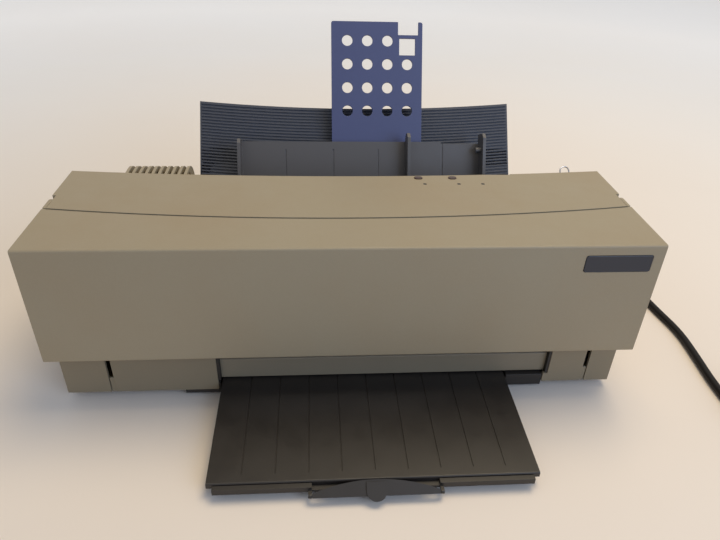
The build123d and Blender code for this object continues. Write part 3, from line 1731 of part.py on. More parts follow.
with BuildPart() as loaded_cassette:
    where = (carriage_rest_x, (carriage_y[0] + carriage_y[1]) / 2, carriage_height[1])
    with BuildSketch(Plane(origin=where, x_dir=(-1, 0, 0), z_dir=(0, 0, 1))):
        add(cassette_plan())
    extrude(amount=cassette_thickness)
save(loaded_cassette, "loaded_cassette")

# Belt drive of the carriage
def pulley(x):
    """A flanged belt pulley on a pin along Y."""
    rod_y(pulley_radius, x, pulley_height, belt_y)
    rod_y(pulley_radius + belt_flange, x, pulley_height, (belt_y[0] - flange_sheet, belt_y[0]))
    rod_y(pulley_radius + belt_flange, x, pulley_height, (belt_y[1], belt_y[1] + flange_sheet))
    rod_y(
        pulley_pin_radius + running_gap,
        x,
        pulley_height,
        (belt_y[0] - cut_margin, belt_y[1] + cut_margin),
        mode=Mode.SUBTRACT,
    )


with BuildPart() as motor_pulley:
    pulley(pulley_x)
save(motor_pulley, "motor_pulley")

with BuildPart() as idler_pulley:
    pulley(-pulley_x)
save(idler_pulley, "idler_pulley")

with BuildPart() as drive_belt:
    with BuildSketch(Plane.XZ.offset(fit_gap - belt_y[1])):
        with Locations((0, pulley_height)):
            inner = pulley_radius + running_gap
            outer = inner + belt_thickness
            SlotCenterToCenter(2 * pulley_x, 2 * outer)
            SlotCenterToCenter(2 * pulley_x, 2 * inner, mode=Mode.SUBTRACT)
    extrude(amount=belt_width - 2 * fit_gap)
save(drive_belt, "drive_belt")

with BuildPart() as carriage_motor:
    block((pulley_x - bracket_end, right_plate[0]), bracket_y, bracket_z)
    rod_y(motor_radius, pulley_x, pulley_height, (bracket_y[1], bracket_y[1] + motor_length))
    rod_y(pulley_pin_radius, pulley_x, pulley_height, (pin_front, bracket_y[1]))
save(carriage_motor, "carriage_motor")

# Controls: lamps, buttons and their board under the top
board_y = (behind(board_depth[0]), behind(board_depth[1]))
board_z = (board_height, board_height + board_thickness)
with BuildPart() as indicator_lenses:
    with BuildSketch(Plane.XY.offset(case_height - lens_length)):
        with Locations(*[(x, behind(lens_depth)) for x in lens_x]):
            Circle(lens_radius)
    extrude(amount=lens_length)
save(indicator_lenses, "indicator_lenses")


def push_button(x):
    """An oval button with a flange under the top and a stem."""
    for z, grow, high in (
        (inner_top - fit_gap, 0, case_wall + fit_gap + button_proud),
        (inner_top - fit_gap - flange_sheet, button_flange, flange_sheet),
    ):
        with BuildSketch(Plane.XY.offset(z)) as section:
            with Locations((x, behind(button_depth))):
                SlotOverall(button_length + 2 * grow, button_width + 2 * grow)
        extrude(section.sketch, amount=high)
    low = switch_top + button_travel + fit_gap
    with BuildSketch(Plane.XY.offset(low)) as section:
        with Locations((x, behind(button_depth))):
            Circle(button_stem_radius)
    extrude(section.sketch, amount=inner_top - low)


switch_top = board_z[1] + switch_height
with BuildPart() as power_button:
    push_button(button_x[0])
save(power_button, "power_button")

with BuildPart() as feed_button:
    push_button(button_x[1])
save(feed_button, "feed_button")

with BuildPart() as control_board:
    block(board_x, board_y, board_z)
    for x in button_x:
        with Locations((x, behind(button_depth), board_z[1])):
            Box(switch_size, switch_size, switch_height, align=(Align.CENTER, Align.CENTER, Align.MIN))
    for x in lens_x:
        with BuildSketch(Plane.XY.offset(board_z[1])):
            with Locations((x, behind(lens_depth))):
                Circle(lens_radius)
        extrude(amount=case_height - lens_length - fit_gap - board_z[1])
    for x in (board_x[0] + post_radius, board_x[1] - post_radius):
        with BuildSketch(Plane.XY.offset(board_z[1])):
            with Locations((x, board_y[0] + post_radius)):
                Circle(post_radius)
        extrude(amount=inner_top - board_z[1])
save(control_board, "control_board")

# Electronics in the base
with BuildPart() as main_board:
    block(
        main_x,
        (behind(main_depth[0]), behind(main_depth[1])),
        (main_height, main_height + board_thickness),
    )
    for x in main_post_x:
        for depth in main_post_depth:
            with BuildSketch(Plane.XY.offset(base_floor)):
                with Locations((x, behind(depth))):
                    Circle(post_radius)
            extrude(amount=main_height - base_floor)
    for x, depth, length, width, high in main_chips:
        with Locations((x, behind(depth), main_height + board_thickness)):
            Box(length, width, high, align=(Align.CENTER, Align.CENTER, Align.MIN))
save(main_board, "main_board")

transformer_y = (behind(transformer_depth[0]), behind(transformer_depth[1]))
with BuildPart() as power_transformer:
    block(transformer_x, transformer_y, (transformer_low, transformer_low + transformer_core))
    middle = sum(transformer_x) / 2
    block(
        (middle - transformer_coil / 2, middle + transformer_coil / 2),
        (transformer_y[0] - transformer_lap, transformer_y[1] + transformer_lap),
        (transformer_low + transformer_lap, transformer_low + transformer_core - transformer_lap),
    )
    block(
        (transformer_x[0] - transformer_lap, transformer_x[1] + transformer_lap),
        (transformer_y[0] + transformer_lap, transformer_y[1] - transformer_lap),
        (base_floor, transformer_low),
    )
save(power_transformer, "power_transformer")


def slope_plane(along, off):
    """Plane on the rear slope at the connector, its Y running up the slope."""
    where = (
        connector_x,
        slope_mid_y - along * slope_cos + off * slope_sin,
        slope_mid_z + along * slope_sin + off * slope_cos,
    )
    return Plane(origin=where, x_dir=(1, 0, 0), z_dir=(0, slope_sin, slope_cos))


# Interface connector on the rear slope, with lugs for its two wire bails
with BuildPart() as interface_connector:
    with BuildSketch(slope_plane(0, 0)):
        Rectangle(connector_width, connector_length + 2 * bail_lug)
    extrude(amount=connector_flange)
    with BuildSketch(slope_plane(0, 0)):
        Rectangle(connector_width - 2 * connector_sheet, connector_length - 2 * connector_sheet)
    extrude(amount=-connector_below)
    with BuildSketch(slope_plane(0, connector_flange)):
        shell = (connector_width - 2 * connector_rim[0], connector_length - 2 * connector_rim[1])
        mouth = (shell[0] - 2 * connector_sheet, shell[1] - 2 * connector_sheet)
        tongue = (mouth[0] - 2 * tongue_room[0], mouth[1] - 2 * tongue_room[1])
        RectangleRounded(*shell, 2 * connector_sheet)
        RectangleRounded(*mouth, connector_sheet, mode=Mode.SUBTRACT)
        Rectangle(*tongue)
    extrude(amount=connector_proud)
    for side in (-1, 1):
        along = side * (connector_length + bail_lug) / 2
        with BuildSketch(slope_plane(along, connector_flange)):
            Rectangle(bail_lug_width, bail_lug)
        extrude(amount=bail_lug)
        with BuildSketch(Plane.YZ.offset(connector_x - bail_width)):
            where = slope_plane(along, bail_pivot).origin
            with Locations((where.Y, where.Z)):
                Circle(bail_wire + running_gap)
        extrude(amount=2 * bail_width, mode=Mode.SUBTRACT)
save(interface_connector, "interface_connector")


def bail(side):
    """A closed wire loop standing in a lug of the connector."""
    start = slope_plane(side * (connector_length + bail_lug) / 2, bail_pivot).origin
    loop = Plane(origin=start, x_dir=(1, 0, 0), z_dir=(0, -slope_cos, slope_sin))
    half = bail_width / 2
    shoulder = bail_height - half
    with BuildLine(loop) as line:
        FilletPolyline((half, shoulder), (half, 0), (-half, 0), (-half, shoulder), radius=bail_bend)
        ThreePointArc((-half, shoulder), (0, bail_height), (half, shoulder))
    path = line.wires()[0]
    with BuildSketch(Plane(origin=path @ 0, z_dir=path % 0)) as section:
        Circle(bail_wire)
    sweep(section.sketch, path=path)


with BuildPart() as upper_bail:
    bail(1)
save(upper_bail, "upper_bail")

with BuildPart() as lower_bail:
    bail(-1)
save(lower_bail, "lower_bail")

# Power cord: strain relief, the run to the coil, the coil put away beside the case, and the plug
with BuildPart() as strain_relief:
    rear_wall = behind(base_back_depth)
    with BuildSketch(Plane.XZ.offset(-rear_wall)):
        with Locations((cord_x, cord_height)):
            Circle(relief_radius)
    with BuildSketch(Plane.XZ.offset(-rear_wall - relief_length)):
        with Locations((cord_x, cord_height)):
            Circle(cord_radius + relief_tip)
    loft()
    rod_y(relief_neck, cord_x, cord_height, (rear_wall - case_wall - relief_tip, rear_wall))
    inside = rear_wall - case_wall - relief_tip
    rod_y(relief_radius, cord_x, cord_height, (inside - relief_tip, inside))
    for number in range(relief_rings):
        y = rear_wall + (number + 1) * relief_length / (relief_rings + 1)
        radius = relief_radius + (cord_radius + relief_tip - relief_radius) * (y - rear_wall) / relief_length
        with BuildSketch(Plane.XZ.offset(-y)):
            with Locations((cord_x, cord_height)):
                Circle(radius + 1)
                Circle(radius - relief_tip, mode=Mode.SUBTRACT)
        extrude(amount=-relief_slot, mode=Mode.SUBTRACT)
    rod_y(
        cord_radius,
        cord_x,
        cord_height,
        (inside - 1 - relief_tip, rear_wall + relief_length + 1),
        mode=Mode.SUBTRACT,
    )
save(strain_relief, "strain_relief")

cord_start_y = rear_wall + relief_length
route = [
    (cord_x, behind(base_back_depth) - case_wall, cord_height),
    (cord_x, cord_start_y + cord_straight, cord_height),
] + [(cord_x + aside, behind(depth), z) for aside, depth, z in cord_route]


def bends(points):
    """A bend radius for each inner point, from the shorter run and the turn there."""
    radii = []
    for before, here, after in zip(points, points[1:], points[2:]):
        first = Vector(*here) - Vector(*before)
        second = Vector(*after) - Vector(*here)
        turn = radians(first.get_angle(second))
        radii.append(bend_share * min(first.length, second.length) / tan(turn / 2))
    return radii


def coil_points():
    """Points of the coil: inward on the desk, up one layer, and outward on top."""
    points = []
    steps = round(coil_turns * coil_corners)
    half_steps = (steps - coil_climb_steps) // 2
    for step in range(steps + 1):
        angle = radians(180 + step * 360 / coil_corners)
        inward = min(step, half_steps)
        outward = max(0, step - half_steps - coil_climb_steps)
        climb = min(1, max(0, (step - half_steps) / coil_climb_steps))
        radius = coil_outer - coil_pitch * (inward - outward) / coil_corners
        points.append(
            (
                coil_x + radius * cos(angle),
                behind(coil_depth) + radius * sin(angle),
                cord_radius + climb * coil_layer,
            )
        )
    return points


def tube(points, radii, sides):
    """A cord of round or many-sided section along filleted runs."""
    with BuildLine() as line:
        FilletPolyline(*points, radius=radii)
    way = line.wires()[0]
    with BuildSketch(Plane(origin=way @ 0, z_dir=way % 0)) as section:
        if sides:
            RegularPolygon(cord_radius, sides)
        else:
            Circle(cord_radius)
    sweep(section.sketch, path=way)
    return way


coil = coil_points()
coil_way = Vector(*coil[1]) - Vector(*coil[0])
joined = route + coil[:2]
joined_bends = bends(joined)
entry = Vector(*coil[0]) + coil_way.normalized() * coil_way.length / 2
with BuildPart() as power_cord:
    cord_way = tube(route + [coil[0], tuple(entry)], joined_bends, 0)
save(power_cord, "power_cord")

end_way = (Vector(*coil[-1]) - Vector(*coil[-2])).normalized().rotate(Axis.Z, coil_tail_turn)
coil_end = Vector(*coil[-1]) + end_way * coil_tail
coil_run_points = [tuple(entry)] + coil[1:] + [tuple(coil_end)]
with BuildPart() as cord_coil:
    coil_line = tube(coil_run_points, bends(coil_run_points), cord_sides)
save(cord_coil, "cord_coil")

# Plug at the end of the coil
plug_plane = Plane(origin=coil_end, z_dir=end_way, x_dir=(end_way.Y, -end_way.X, 0))
with BuildPart() as power_plug:
    with BuildSketch(plug_plane):
        RectangleRounded(plug_width, plug_height, plug_corner)
    with BuildSketch(plug_plane.offset(plug_length)):
        RectangleRounded(plug_width, plug_height, plug_corner)
    loft()
    with BuildSketch(plug_plane.offset(plug_length)):
        with Locations((-blade_gap / 2, blade_shift), (blade_gap / 2, blade_shift)):
            Rectangle(blade_thickness, blade_width)
        with Locations((0, -blade_shift)):
            Circle(earth_radius)
    extrude(amount=blade_length)
save(power_plug, "power_plug")



def least_gap(ways):
    """Least clear gap of a cord to itself, measured between points along it."""
    points = []
    along = 0
    for way in ways:
        count = int(way.length / gap_step)
        for number in range(count):
            place = way.position_at(number / count)
            points.append((along + number * gap_step, place.X, place.Y, place.Z))
        along += way.length
    least = way.length
    for number, (here, x, y, z) in enumerate(points):
        for there, other_x, other_y, other_z in points[number + 1 :]:
            if there - here > gap_apart:
                least = min(least, hypot(x - other_x, y - other_y, z - other_z))
    return least - 2 * cord_radius


print("cord bend radii", [round(radius, 1) for radius in joined_bends])
print("coil bend radii", [round(radius, 1) for radius in bends(coil_run_points)])
print("cord length", round(cord_way.length + coil_line.length, 1), "coil", round(coil_line.length, 1))
print("cord's least gap to itself", round(least_gap((cord_way, coil_line)), 2))

travels = {
    "cover": (cover_open_angle, "degrees"),
    "tray": (tray_travel, "mm"),
    "extension": (extension_travel, "mm"),
    "stopper": (stopper_open_angle, "degrees"),
    "buttons": (press_swing, "degrees"),
    "support": (support_travel, "mm"),
    "feeder lid": (lid_swing, "degrees"),
    "carriage": (round(carriage_travel, 1), "mm"),
    "print head": (head_lift, "degrees"),
    "bails": (bail_swing, "degrees"),
}
for piece, (amount, unit) in travels.items():
    print("travel of", piece, amount, unit)
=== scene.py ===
"""Looks of a desktop thermal printer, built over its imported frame."""

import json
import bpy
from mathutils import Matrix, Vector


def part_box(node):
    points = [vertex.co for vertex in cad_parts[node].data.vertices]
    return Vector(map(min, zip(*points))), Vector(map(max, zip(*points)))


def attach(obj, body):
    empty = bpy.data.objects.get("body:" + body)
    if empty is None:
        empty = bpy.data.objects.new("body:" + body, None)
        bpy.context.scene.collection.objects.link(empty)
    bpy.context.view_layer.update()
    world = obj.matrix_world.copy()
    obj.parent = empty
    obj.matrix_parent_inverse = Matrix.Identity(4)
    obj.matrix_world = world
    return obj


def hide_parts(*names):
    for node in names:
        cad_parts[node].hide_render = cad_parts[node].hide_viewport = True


bl_info = {
    "name": "Desktop Thermal Printer",
    "version": (1, 0, 0),
    "blender": (4, 5, 0),
    "location": "3D View > Sidebar > Printer",
    "description": "Dresses the frame of a desktop thermal printer with finishes and fine parts",
    "category": "Add Mesh",
}

from math import cos, pi, radians, sin

import bpy
from bpy.props import FloatProperty, FloatVectorProperty, PointerProperty
from bpy.types import Operator, Panel, PropertyGroup
from mathutils import Matrix, Vector

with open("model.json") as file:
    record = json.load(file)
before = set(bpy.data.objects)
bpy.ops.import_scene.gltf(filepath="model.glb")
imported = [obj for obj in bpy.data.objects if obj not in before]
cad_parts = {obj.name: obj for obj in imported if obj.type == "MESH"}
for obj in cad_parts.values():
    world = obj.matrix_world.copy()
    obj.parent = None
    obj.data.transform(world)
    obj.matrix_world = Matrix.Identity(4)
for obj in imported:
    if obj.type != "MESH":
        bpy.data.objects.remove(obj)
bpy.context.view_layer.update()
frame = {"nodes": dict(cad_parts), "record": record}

# Places read from the frame, in metres
MM = 0.001
cover_low, cover_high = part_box("front_cover")
front_y = cover_low.y
top_z = cover_high.z


def paint(red, green, blue):
    """A colour from its display values of 0 to 255, as the shaders' linear values."""
    linear = []
    for value in (red, green, blue):
        share = value / 255
        linear.append(share / 12.92 if share <= 0.04045 else ((share + 0.055) / 1.055) ** 2.4)
    return tuple(linear)


def fixed(red, green, blue):
    """A colour that no setting changes, with full alpha."""
    return (*paint(red, green, blue), 1)


def shade_property(name, words, shade):
    """A colour setting."""
    return FloatVectorProperty(
        name=name, description=words, subtype="COLOR", size=3, min=0, max=1, default=shade
    )


def length_property(name, words, value):
    """A length setting."""
    return FloatProperty(
        name=name, description=words, unit="LENGTH", min=0, precision=4, default=value
    )


class PrinterColours(PropertyGroup):
    """Colours of the printer's finishes."""

    case: shade_property("Case", "Beige plastic of the case and the cover", paint(154, 141, 116))
    case_aged: shade_property("Aged case", "Yellowed patches of the case", paint(152, 134, 106))
    base: shade_property("Base", "Plastic of the base and the bezel", paint(131, 119, 97))
    exit_grey: shade_property("Exit panel", "Panel under the paper exit", paint(135, 123, 102))
    black: shade_property("Black", "Tray, housing and other black plastic", paint(38, 34, 31))
    feeder: shade_property("Feeder", "Paper hopper and edge guide", paint(84, 82, 83))
    slate: shade_property("Slate", "Ribbed feeder cover", paint(62, 66, 77))
    blue: shade_property("Blue", "Perforated paper support", paint(70, 78, 118))
    nameplate: shade_property("Nameplate", "Bare nameplate", paint(40, 43, 52))
    button: shade_property("Buttons", "Push buttons in the top", paint(66, 46, 42))
    lens: shade_property("Lamps", "Lenses of the indicator lamps", paint(52, 44, 24))
    steel: shade_property("Steel", "Shafts, plates and screws", paint(186, 186, 190))
    rubber: shade_property("Rubber", "Feet and other black rubber", paint(34, 31, 30))
    lead: shade_property("Power cord", "Vinyl of the power cord and its plug", paint(18, 15, 14))
    gear: shade_property("Gears", "Gears and pulleys", paint(214, 210, 198))
    board: shade_property("Boards", "Circuit boards", paint(46, 96, 58))
    floor: shade_property("Floor", "Table under the printer", paint(244, 230, 214))
    backdrop: shade_property("Backdrop", "Far floor and the sky behind it", paint(236, 232, 227))


class PrinterSizes(PropertyGroup):
    """Sizes of the printer's fine forms."""

    shell_edge: length_property("Shell edge", "Rounding of the case's edges", 0.7 * MM)
    part_edge: length_property("Part edge", "Rounding of smaller parts' edges", 0.35 * MM)
    fine_edge: length_property("Fine edge", "Rounding of the finest edges", 0.15 * MM)
    grain: length_property("Grain", "Size of the moulded grain", 0.6 * MM)
    cord_diameter: length_property("Cord diameter", "Thickness of the power cord", 6.8 * MM)


def colour(name):
    """A colour setting's value with full alpha."""
    return (*getattr(bpy.context.scene.printer_colours, name), 1)


def size(name):
    """A size setting's value."""
    return getattr(bpy.context.scene.printer_sizes, name)


# Finishes

FULL_NOISE = (0.3, 0.7)
# Lighter edges: partly rubbed wear, partly a painted highlight
EDGE_WEAR_AND_HIGHLIGHT_WIDTH = 0.6 * MM
EDGE_WEAR_AND_HIGHLIGHT_SAMPLES = 6
EDGE_WEAR_AND_HIGHLIGHT_NORMALS = (0.995, 0.9)
TRACK_SCALE = 90
TRACK_DISTORTION = 3
TABLE_FADE = (0.3, 1.1)
# Painted light on the far table: a glow seen by the camera alone
TABLE_PAINTED_LIGHT = (0.35, 1.6)
TABLE_PAINTED_LIGHT_MOST = 0.42


class Shader:
    """A material under construction, with its Principled shader and object coordinates."""

    def __init__(self, name):
        self.material = bpy.data.materials.new(name)
        self.material.use_nodes = True
        self.tree = self.material.node_tree
        self.principled = self.tree.nodes["Principled BSDF"]
        self.place = self.node("ShaderNodeTexCoord").outputs["Object"]

    def node(self, kind, **settings):
        """A new node with its settings."""
        node = self.tree.nodes.new(kind)
        for key, value in settings.items():
            setattr(node, key, value)
        return node

    def join(self, output, entry):
        """Links an output to an input."""
        self.tree.links.new(output, entry)

    def set(self, **values):
        """Sets sockets of the Principled shader, named with underscores."""
        for key, value in values.items():
            self.principled.inputs[key.replace("_", " ")].default_value = value

    def noise(self, scale, detail, stretch=(1, 1, 1)):
        """Noise over the object, as a value."""
        mapping = self.node("ShaderNodeMapping")
        mapping.inputs["Scale"].default_value = stretch
        self.join(self.place, mapping.inputs["Vector"])
        noise = self.node("ShaderNodeTexNoise")
        noise.inputs["Scale"].default_value = scale
        noise.inputs["Detail"].default_value = detail
        self.join(mapping.outputs["Vector"], noise.inputs["Vector"])
        return noise.outputs["Fac"]

    def fade(self, value, levels, least=0.0, most=1.0):
        """Maps the range between two levels of a value onto another range."""
        node = self.node("ShaderNodeMapRange")
        keys = ("From Min", "From Max", "To Min", "To Max")
        for key, number in zip(keys, (*levels, least, most)):
            node.inputs[key].default_value = number
        self.join(value, node.inputs["Value"])
        return node.outputs["Result"]

    def cloud(self, scale, detail, levels=FULL_NOISE, least=0.0, most=1.0, stretch=(1, 1, 1)):
        """Soft patches, where noise between two levels gives a value from the least to the most."""
        return self.fade(self.noise(scale, detail, stretch), levels, least, most)

    def product(self, first, second):
        """The product of two values."""
        node = self.node("ShaderNodeMath", operation="MULTIPLY")
        self.join(first, node.inputs[0])
        self.join(second, node.inputs[1])
        return node.outputs[0]

    def blend(self, share, first, second):
        """Mixes two colours, or links, by a share."""
        node = self.node("ShaderNodeMix", data_type="RGBA")
        self.join(share, node.inputs["Factor"])
        for entry, value in ((node.inputs[6], first), (node.inputs[7], second)):
            if isinstance(value, bpy.types.NodeSocket):
                self.join(value, entry)
            else:
                entry.default_value = value
        return node.outputs[2]

    def worn_and_highlit_edges(self, most):
        """A share of lighter colour along the edges, partly rubbed wear and partly a painted
        highlight, broken up by noise, from 0 to the most.
        """
        bevel = self.node("ShaderNodeBevel", samples=EDGE_WEAR_AND_HIGHLIGHT_SAMPLES)
        bevel.inputs["Radius"].default_value = EDGE_WEAR_AND_HIGHLIGHT_WIDTH
        geometry = self.node("ShaderNodeNewGeometry")
        turned = self.node("ShaderNodeVectorMath", operation="DOT_PRODUCT")
        self.join(bevel.outputs["Normal"], turned.inputs[0])
        self.join(geometry.outputs["Normal"], turned.inputs[1])
        edges = self.fade(turned.outputs["Value"], EDGE_WEAR_AND_HIGHLIGHT_NORMALS, most=most)
        return self.product(edges, self.cloud(scale=120, detail=4, levels=(0.35, 0.6)))

    def relief(self, height, strength, distance):
        """Gives the surface a relief from a height."""
        bump = self.node("ShaderNodeBump")
        bump.inputs["Strength"].default_value = strength
        bump.inputs["Distance"].default_value = distance
        self.join(height, bump.inputs["Height"])
        self.join(bump.outputs["Normal"], self.principled.inputs["Normal"])

    def paint_with(self, output):
        """Uses a colour output as the base colour."""
        self.join(output, self.principled.inputs["Base Color"])

    def roughen_with(self, output):
        """Uses a value output as the roughness."""
        self.join(output, self.principled.inputs["Roughness"])


def tinted(shade, factor):
    """A lighter or darker colour."""
    return (*[min(1, channel * factor) for channel in shade[:3]], 1)


def moulded_plastic(name, shade, rough, aged=None, aged_share=0.35, grain_depth=0.03):
    """Moulded plastic: fine sparked grain, slow drift of colour, and edges lighter from rubbed wear
    and a painted highlight.
    """
    shader = Shader(name)
    drift = shader.cloud(scale=9, detail=4, levels=(0.38, 0.68), most=aged_share)
    worn = shader.blend(drift, shade, aged or tinted(shade, 0.88))
    specks = shader.cloud(scale=900, detail=2, levels=(0.35, 0.7), most=0.16)
    speckled = shader.blend(specks, worn, tinted(shade, 1.16))
    # Lighter edges, partly rubbed wear and partly a painted highlight
    shader.paint_with(shader.blend(shader.worn_and_highlit_edges(0.45), speckled, tinted(shade, 1.35)))
    shader.roughen_with(shader.cloud(scale=45, detail=4, least=rough - 0.06, most=rough + 0.06))
    grain = shader.noise(1 / size("grain"), detail=2)
    shader.relief(grain, strength=0.35, distance=grain_depth * MM)
    return shader.material


def scuffed_plastic(name, shade, rough):
    """Dark tray plastic with long fine scuffs and dust."""
    shader = Shader(name)
    dust = shader.cloud(scale=26, detail=6, levels=(0.5, 0.8), most=0.18)
    dusty = shader.blend(dust, shade, tinted(shade, 1.8))
    scuffs = shader.cloud(150, detail=5, levels=(0.64, 0.74), most=0.12, stretch=(4, 0.6, 1))
    scuffed = shader.blend(scuffs, dusty, tinted(shade, 2.0))
    # Lighter edges, partly rubbed wear and partly a painted highlight
    shader.paint_with(shader.blend(shader.worn_and_highlit_edges(0.5), scuffed, tinted(shade, 1.9)))
    shader.roughen_with(shader.cloud(scale=60, detail=5, least=rough - 0.06, most=rough + 0.08))
    grain = shader.noise(1 / size("grain"), detail=2)
    shader.relief(grain, strength=0.3, distance=0.03 * MM)
    return shader.material


def brushed_metal(name, shade, rough, stretch):
    """Sheet metal or a ground shaft, with fine lines along one direction."""
    shader = Shader(name)
    lines = shader.noise(900, detail=3, stretch=stretch)
    shader.paint_with(shader.blend(shader.fade(lines, FULL_NOISE), tinted(shade, 0.82), shade))
    shader.roughen_with(shader.fade(lines, FULL_NOISE, least=rough - 0.07, most=rough + 0.1))
    shader.relief(lines, strength=0.12, distance=0.01 * MM)
    shader.set(Metallic=1.0)
    return shader.material


def soft_rubber(name, shade, rough, shine=0.4):
    """Rubber or soft vinyl with a faint bloom and small dents."""
    shader = Shader(name)
    bloom = shader.cloud(scale=60, detail=5, levels=(0.45, 0.75), most=0.3)
    shader.paint_with(shader.blend(bloom, shade, tinted(shade, 1.9)))
    shader.roughen_with(shader.cloud(scale=140, detail=4, least=rough - 0.08, most=rough + 0.08))
    shader.relief(shader.noise(700, detail=3), strength=0.25, distance=0.04 * MM)
    shader.set(Specular_IOR_Level=shine)
    return shader.material


def circuit_board(name, shade):
    """Lacquered board with paler tracks."""
    shader = Shader(name)
    tracks = shader.node("ShaderNodeTexWave", wave_type="BANDS", bands_direction="DIAGONAL")
    tracks.inputs["Scale"].default_value = TRACK_SCALE
    tracks.inputs["Distortion"].default_value = TRACK_DISTORTION
    tracks.inputs["Detail"].default_value = 1
    shader.join(shader.place, tracks.inputs["Vector"])
    share = shader.fade(tracks.outputs["Fac"], (0.72, 0.8), most=0.6)
    shader.paint_with(shader.blend(share, shade, tinted(shade, 2.0)))
    shader.relief(tracks.outputs["Fac"], strength=0.2, distance=0.03 * MM)
    shader.set(Roughness=0.35)
    return shader.material


def lamp_lens(name, shade):
    """Tinted translucent lens of an unlit lamp."""
    shader = Shader(name)
    shader.paint_with(shader.blend(shader.cloud(scale=900, detail=2), tinted(shade, 0.7), shade))
    shader.set(Roughness=0.18, Transmission_Weight=0.25, IOR=1.49)
    return shader.material


def table_paper(name):
    """Pale table paper, warmer near the printer and paler further off, with painted light further
    off: a glow seen by the camera alone.
    """
    shader = Shader(name)
    distance = shader.node("ShaderNodeVectorMath", operation="LENGTH")
    shader.join(shader.place, distance.inputs[0])
    off = distance.outputs["Value"]
    sheet = shader.blend(shader.fade(off, TABLE_FADE), colour("floor"), colour("backdrop"))
    cloud = shader.cloud(scale=2.2, detail=3, levels=(0.35, 0.7), most=0.25)
    shader.paint_with(shader.blend(cloud, sheet, tinted(colour("floor"), 0.9)))
    shader.roughen_with(shader.cloud(scale=14, detail=3, least=0.7, most=0.85))
    # Painted light: the far table glows for the camera alone, more strongly further off
    painted_light = shader.fade(off, TABLE_PAINTED_LIGHT, most=TABLE_PAINTED_LIGHT_MOST)
    seen = shader.node("ShaderNodeLightPath").outputs["Is Camera Ray"]
    shader.join(shader.product(painted_light, seen), shader.principled.inputs["Emission Strength"])
    shader.set(Emission_Color=colour("backdrop"))
    shader.relief(shader.noise(220, detail=4), strength=0.1, distance=0.1 * MM)
    return shader.material


MATERIALS = {}


def make_materials():
    """Makes each finish once."""
    MATERIALS.update(
        case=moulded_plastic("case_plastic", colour("case"), 0.52, colour("case_aged"), 0.55),
        base=moulded_plastic("base_plastic", colour("base"), 0.55, colour("case_aged"), 0.30),
        exit_grey=moulded_plastic("exit_plastic", colour("exit_grey"), 0.5),
        black=scuffed_plastic("black_plastic", colour("black"), 0.42),
        housing=moulded_plastic("housing_plastic", colour("black"), 0.5),
        feeder=moulded_plastic("feeder_plastic", colour("feeder"), 0.45),
        slate=moulded_plastic("slate_plastic", colour("slate"), 0.5),
        blue=moulded_plastic("blue_plastic", colour("blue"), 0.42),
        nameplate=moulded_plastic(
            "nameplate_plastic", colour("nameplate"), 0.25, grain_depth=0.005
        ),
        button=moulded_plastic("button_plastic", colour("button"), 0.35, grain_depth=0.01),
        gear=moulded_plastic("gear_plastic", colour("gear"), 0.38, grain_depth=0.01),
        cassette=moulded_plastic("cassette_plastic", fixed(92, 92, 98), 0.4),
        steel=brushed_metal("plate_steel", colour("steel"), 0.36, (0.04, 1, 1)),
        ground=brushed_metal("ground_steel", colour("steel"), 0.22, (0.02, 1, 1)),
        shell=brushed_metal("connector_shell", fixed(142, 140, 136), 0.48, (1, 0.1, 0.1)),
        copper=brushed_metal("contact_metal", fixed(206, 168, 96), 0.3, (1, 1, 0.1)),
        rubber=soft_rubber("black_rubber", colour("rubber"), 0.55),
        lead=soft_rubber("cord_vinyl", colour("lead"), 0.45, 0.2),
        tyre=soft_rubber("tyre_rubber", fixed(66, 64, 62), 0.7),
        board=circuit_board("board_lacquer", colour("board")),
        chip=moulded_plastic("chip_plastic", fixed(36, 36, 38), 0.5, grain_depth=0.01),
        lens=lamp_lens("lamp_lens", colour("lens")),
        film=moulded_plastic("ribbon_film", fixed(24, 24, 30), 0.18, grain_depth=0.004),
        winding=brushed_metal("copper_winding", fixed(176, 104, 60), 0.4, (1, 1, 0.2)),
        ceramic=moulded_plastic("head_ceramic", fixed(196, 190, 178), 0.3, grain_depth=0.005),
        table=table_paper("table_paper"),
    )


# Modelling helpers

NORMAL_WEIGHT = 100
SHARP_ANGLE = 35
SMOOTH_SHORT = 5
WELD_GAP = 0.002 * MM
SAME_PLACE = 0.01 * MM
FLAT_ANGLE = radians(0.4)
FACING = 0.9


def select_only(piece):
    """Selects one object and makes it active."""
    bpy.ops.object.select_all(action="DESELECT")
    piece.hide_set(False)
    piece.select_set(True)
    bpy.context.view_layer.objects.active = piece


def settle(piece, name, body, finish):
    """Names a finished piece, bakes its place into its mesh, and hands it to its body."""
    select_only(piece)
    bpy.ops.object.transform_apply(location=True, rotation=True, scale=True)
    piece.name = name
    piece.data.name = name
    piece.data.materials.clear()
    piece.data.materials.append(MATERIALS[finish])
    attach(piece, body)
    return piece


def modify(piece, kind, **settings):
    """Adds a modifier and applies it."""
    select_only(piece)
    modifier = piece.modifiers.new(kind.lower(), kind)
    for key, value in settings.items():
        setattr(modifier, key, value)
    bpy.ops.object.modifier_apply(modifier=modifier.name)


def round_edges(piece, edge, steps=2, angle=SHARP_ANGLE):
    """Rounds the edges sharper than an angle in degrees, and shades the rest smoothly."""
    if edge > 0:
        modify(
            piece,
            "BEVEL",
            width=edge,
            segments=steps,
            limit_method="ANGLE",
            angle_limit=radians(angle),
            use_clamp_overlap=True,
            harden_normals=False,
            miter_outer="MITER_ARC",
        )
    select_only(piece)
    bpy.ops.object.shade_smooth_by_angle(angle=radians(angle - SMOOTH_SHORT))
    modify(piece, "WEIGHTED_NORMAL", keep_sharp=True, weight=NORMAL_WEIGHT)


def node_body(node):
    """The body that a node belongs to."""
    for body, members in frame["record"]["behaviour"]["bodies"].items():
        if node in members:
            return body
    raise ValueError(node)


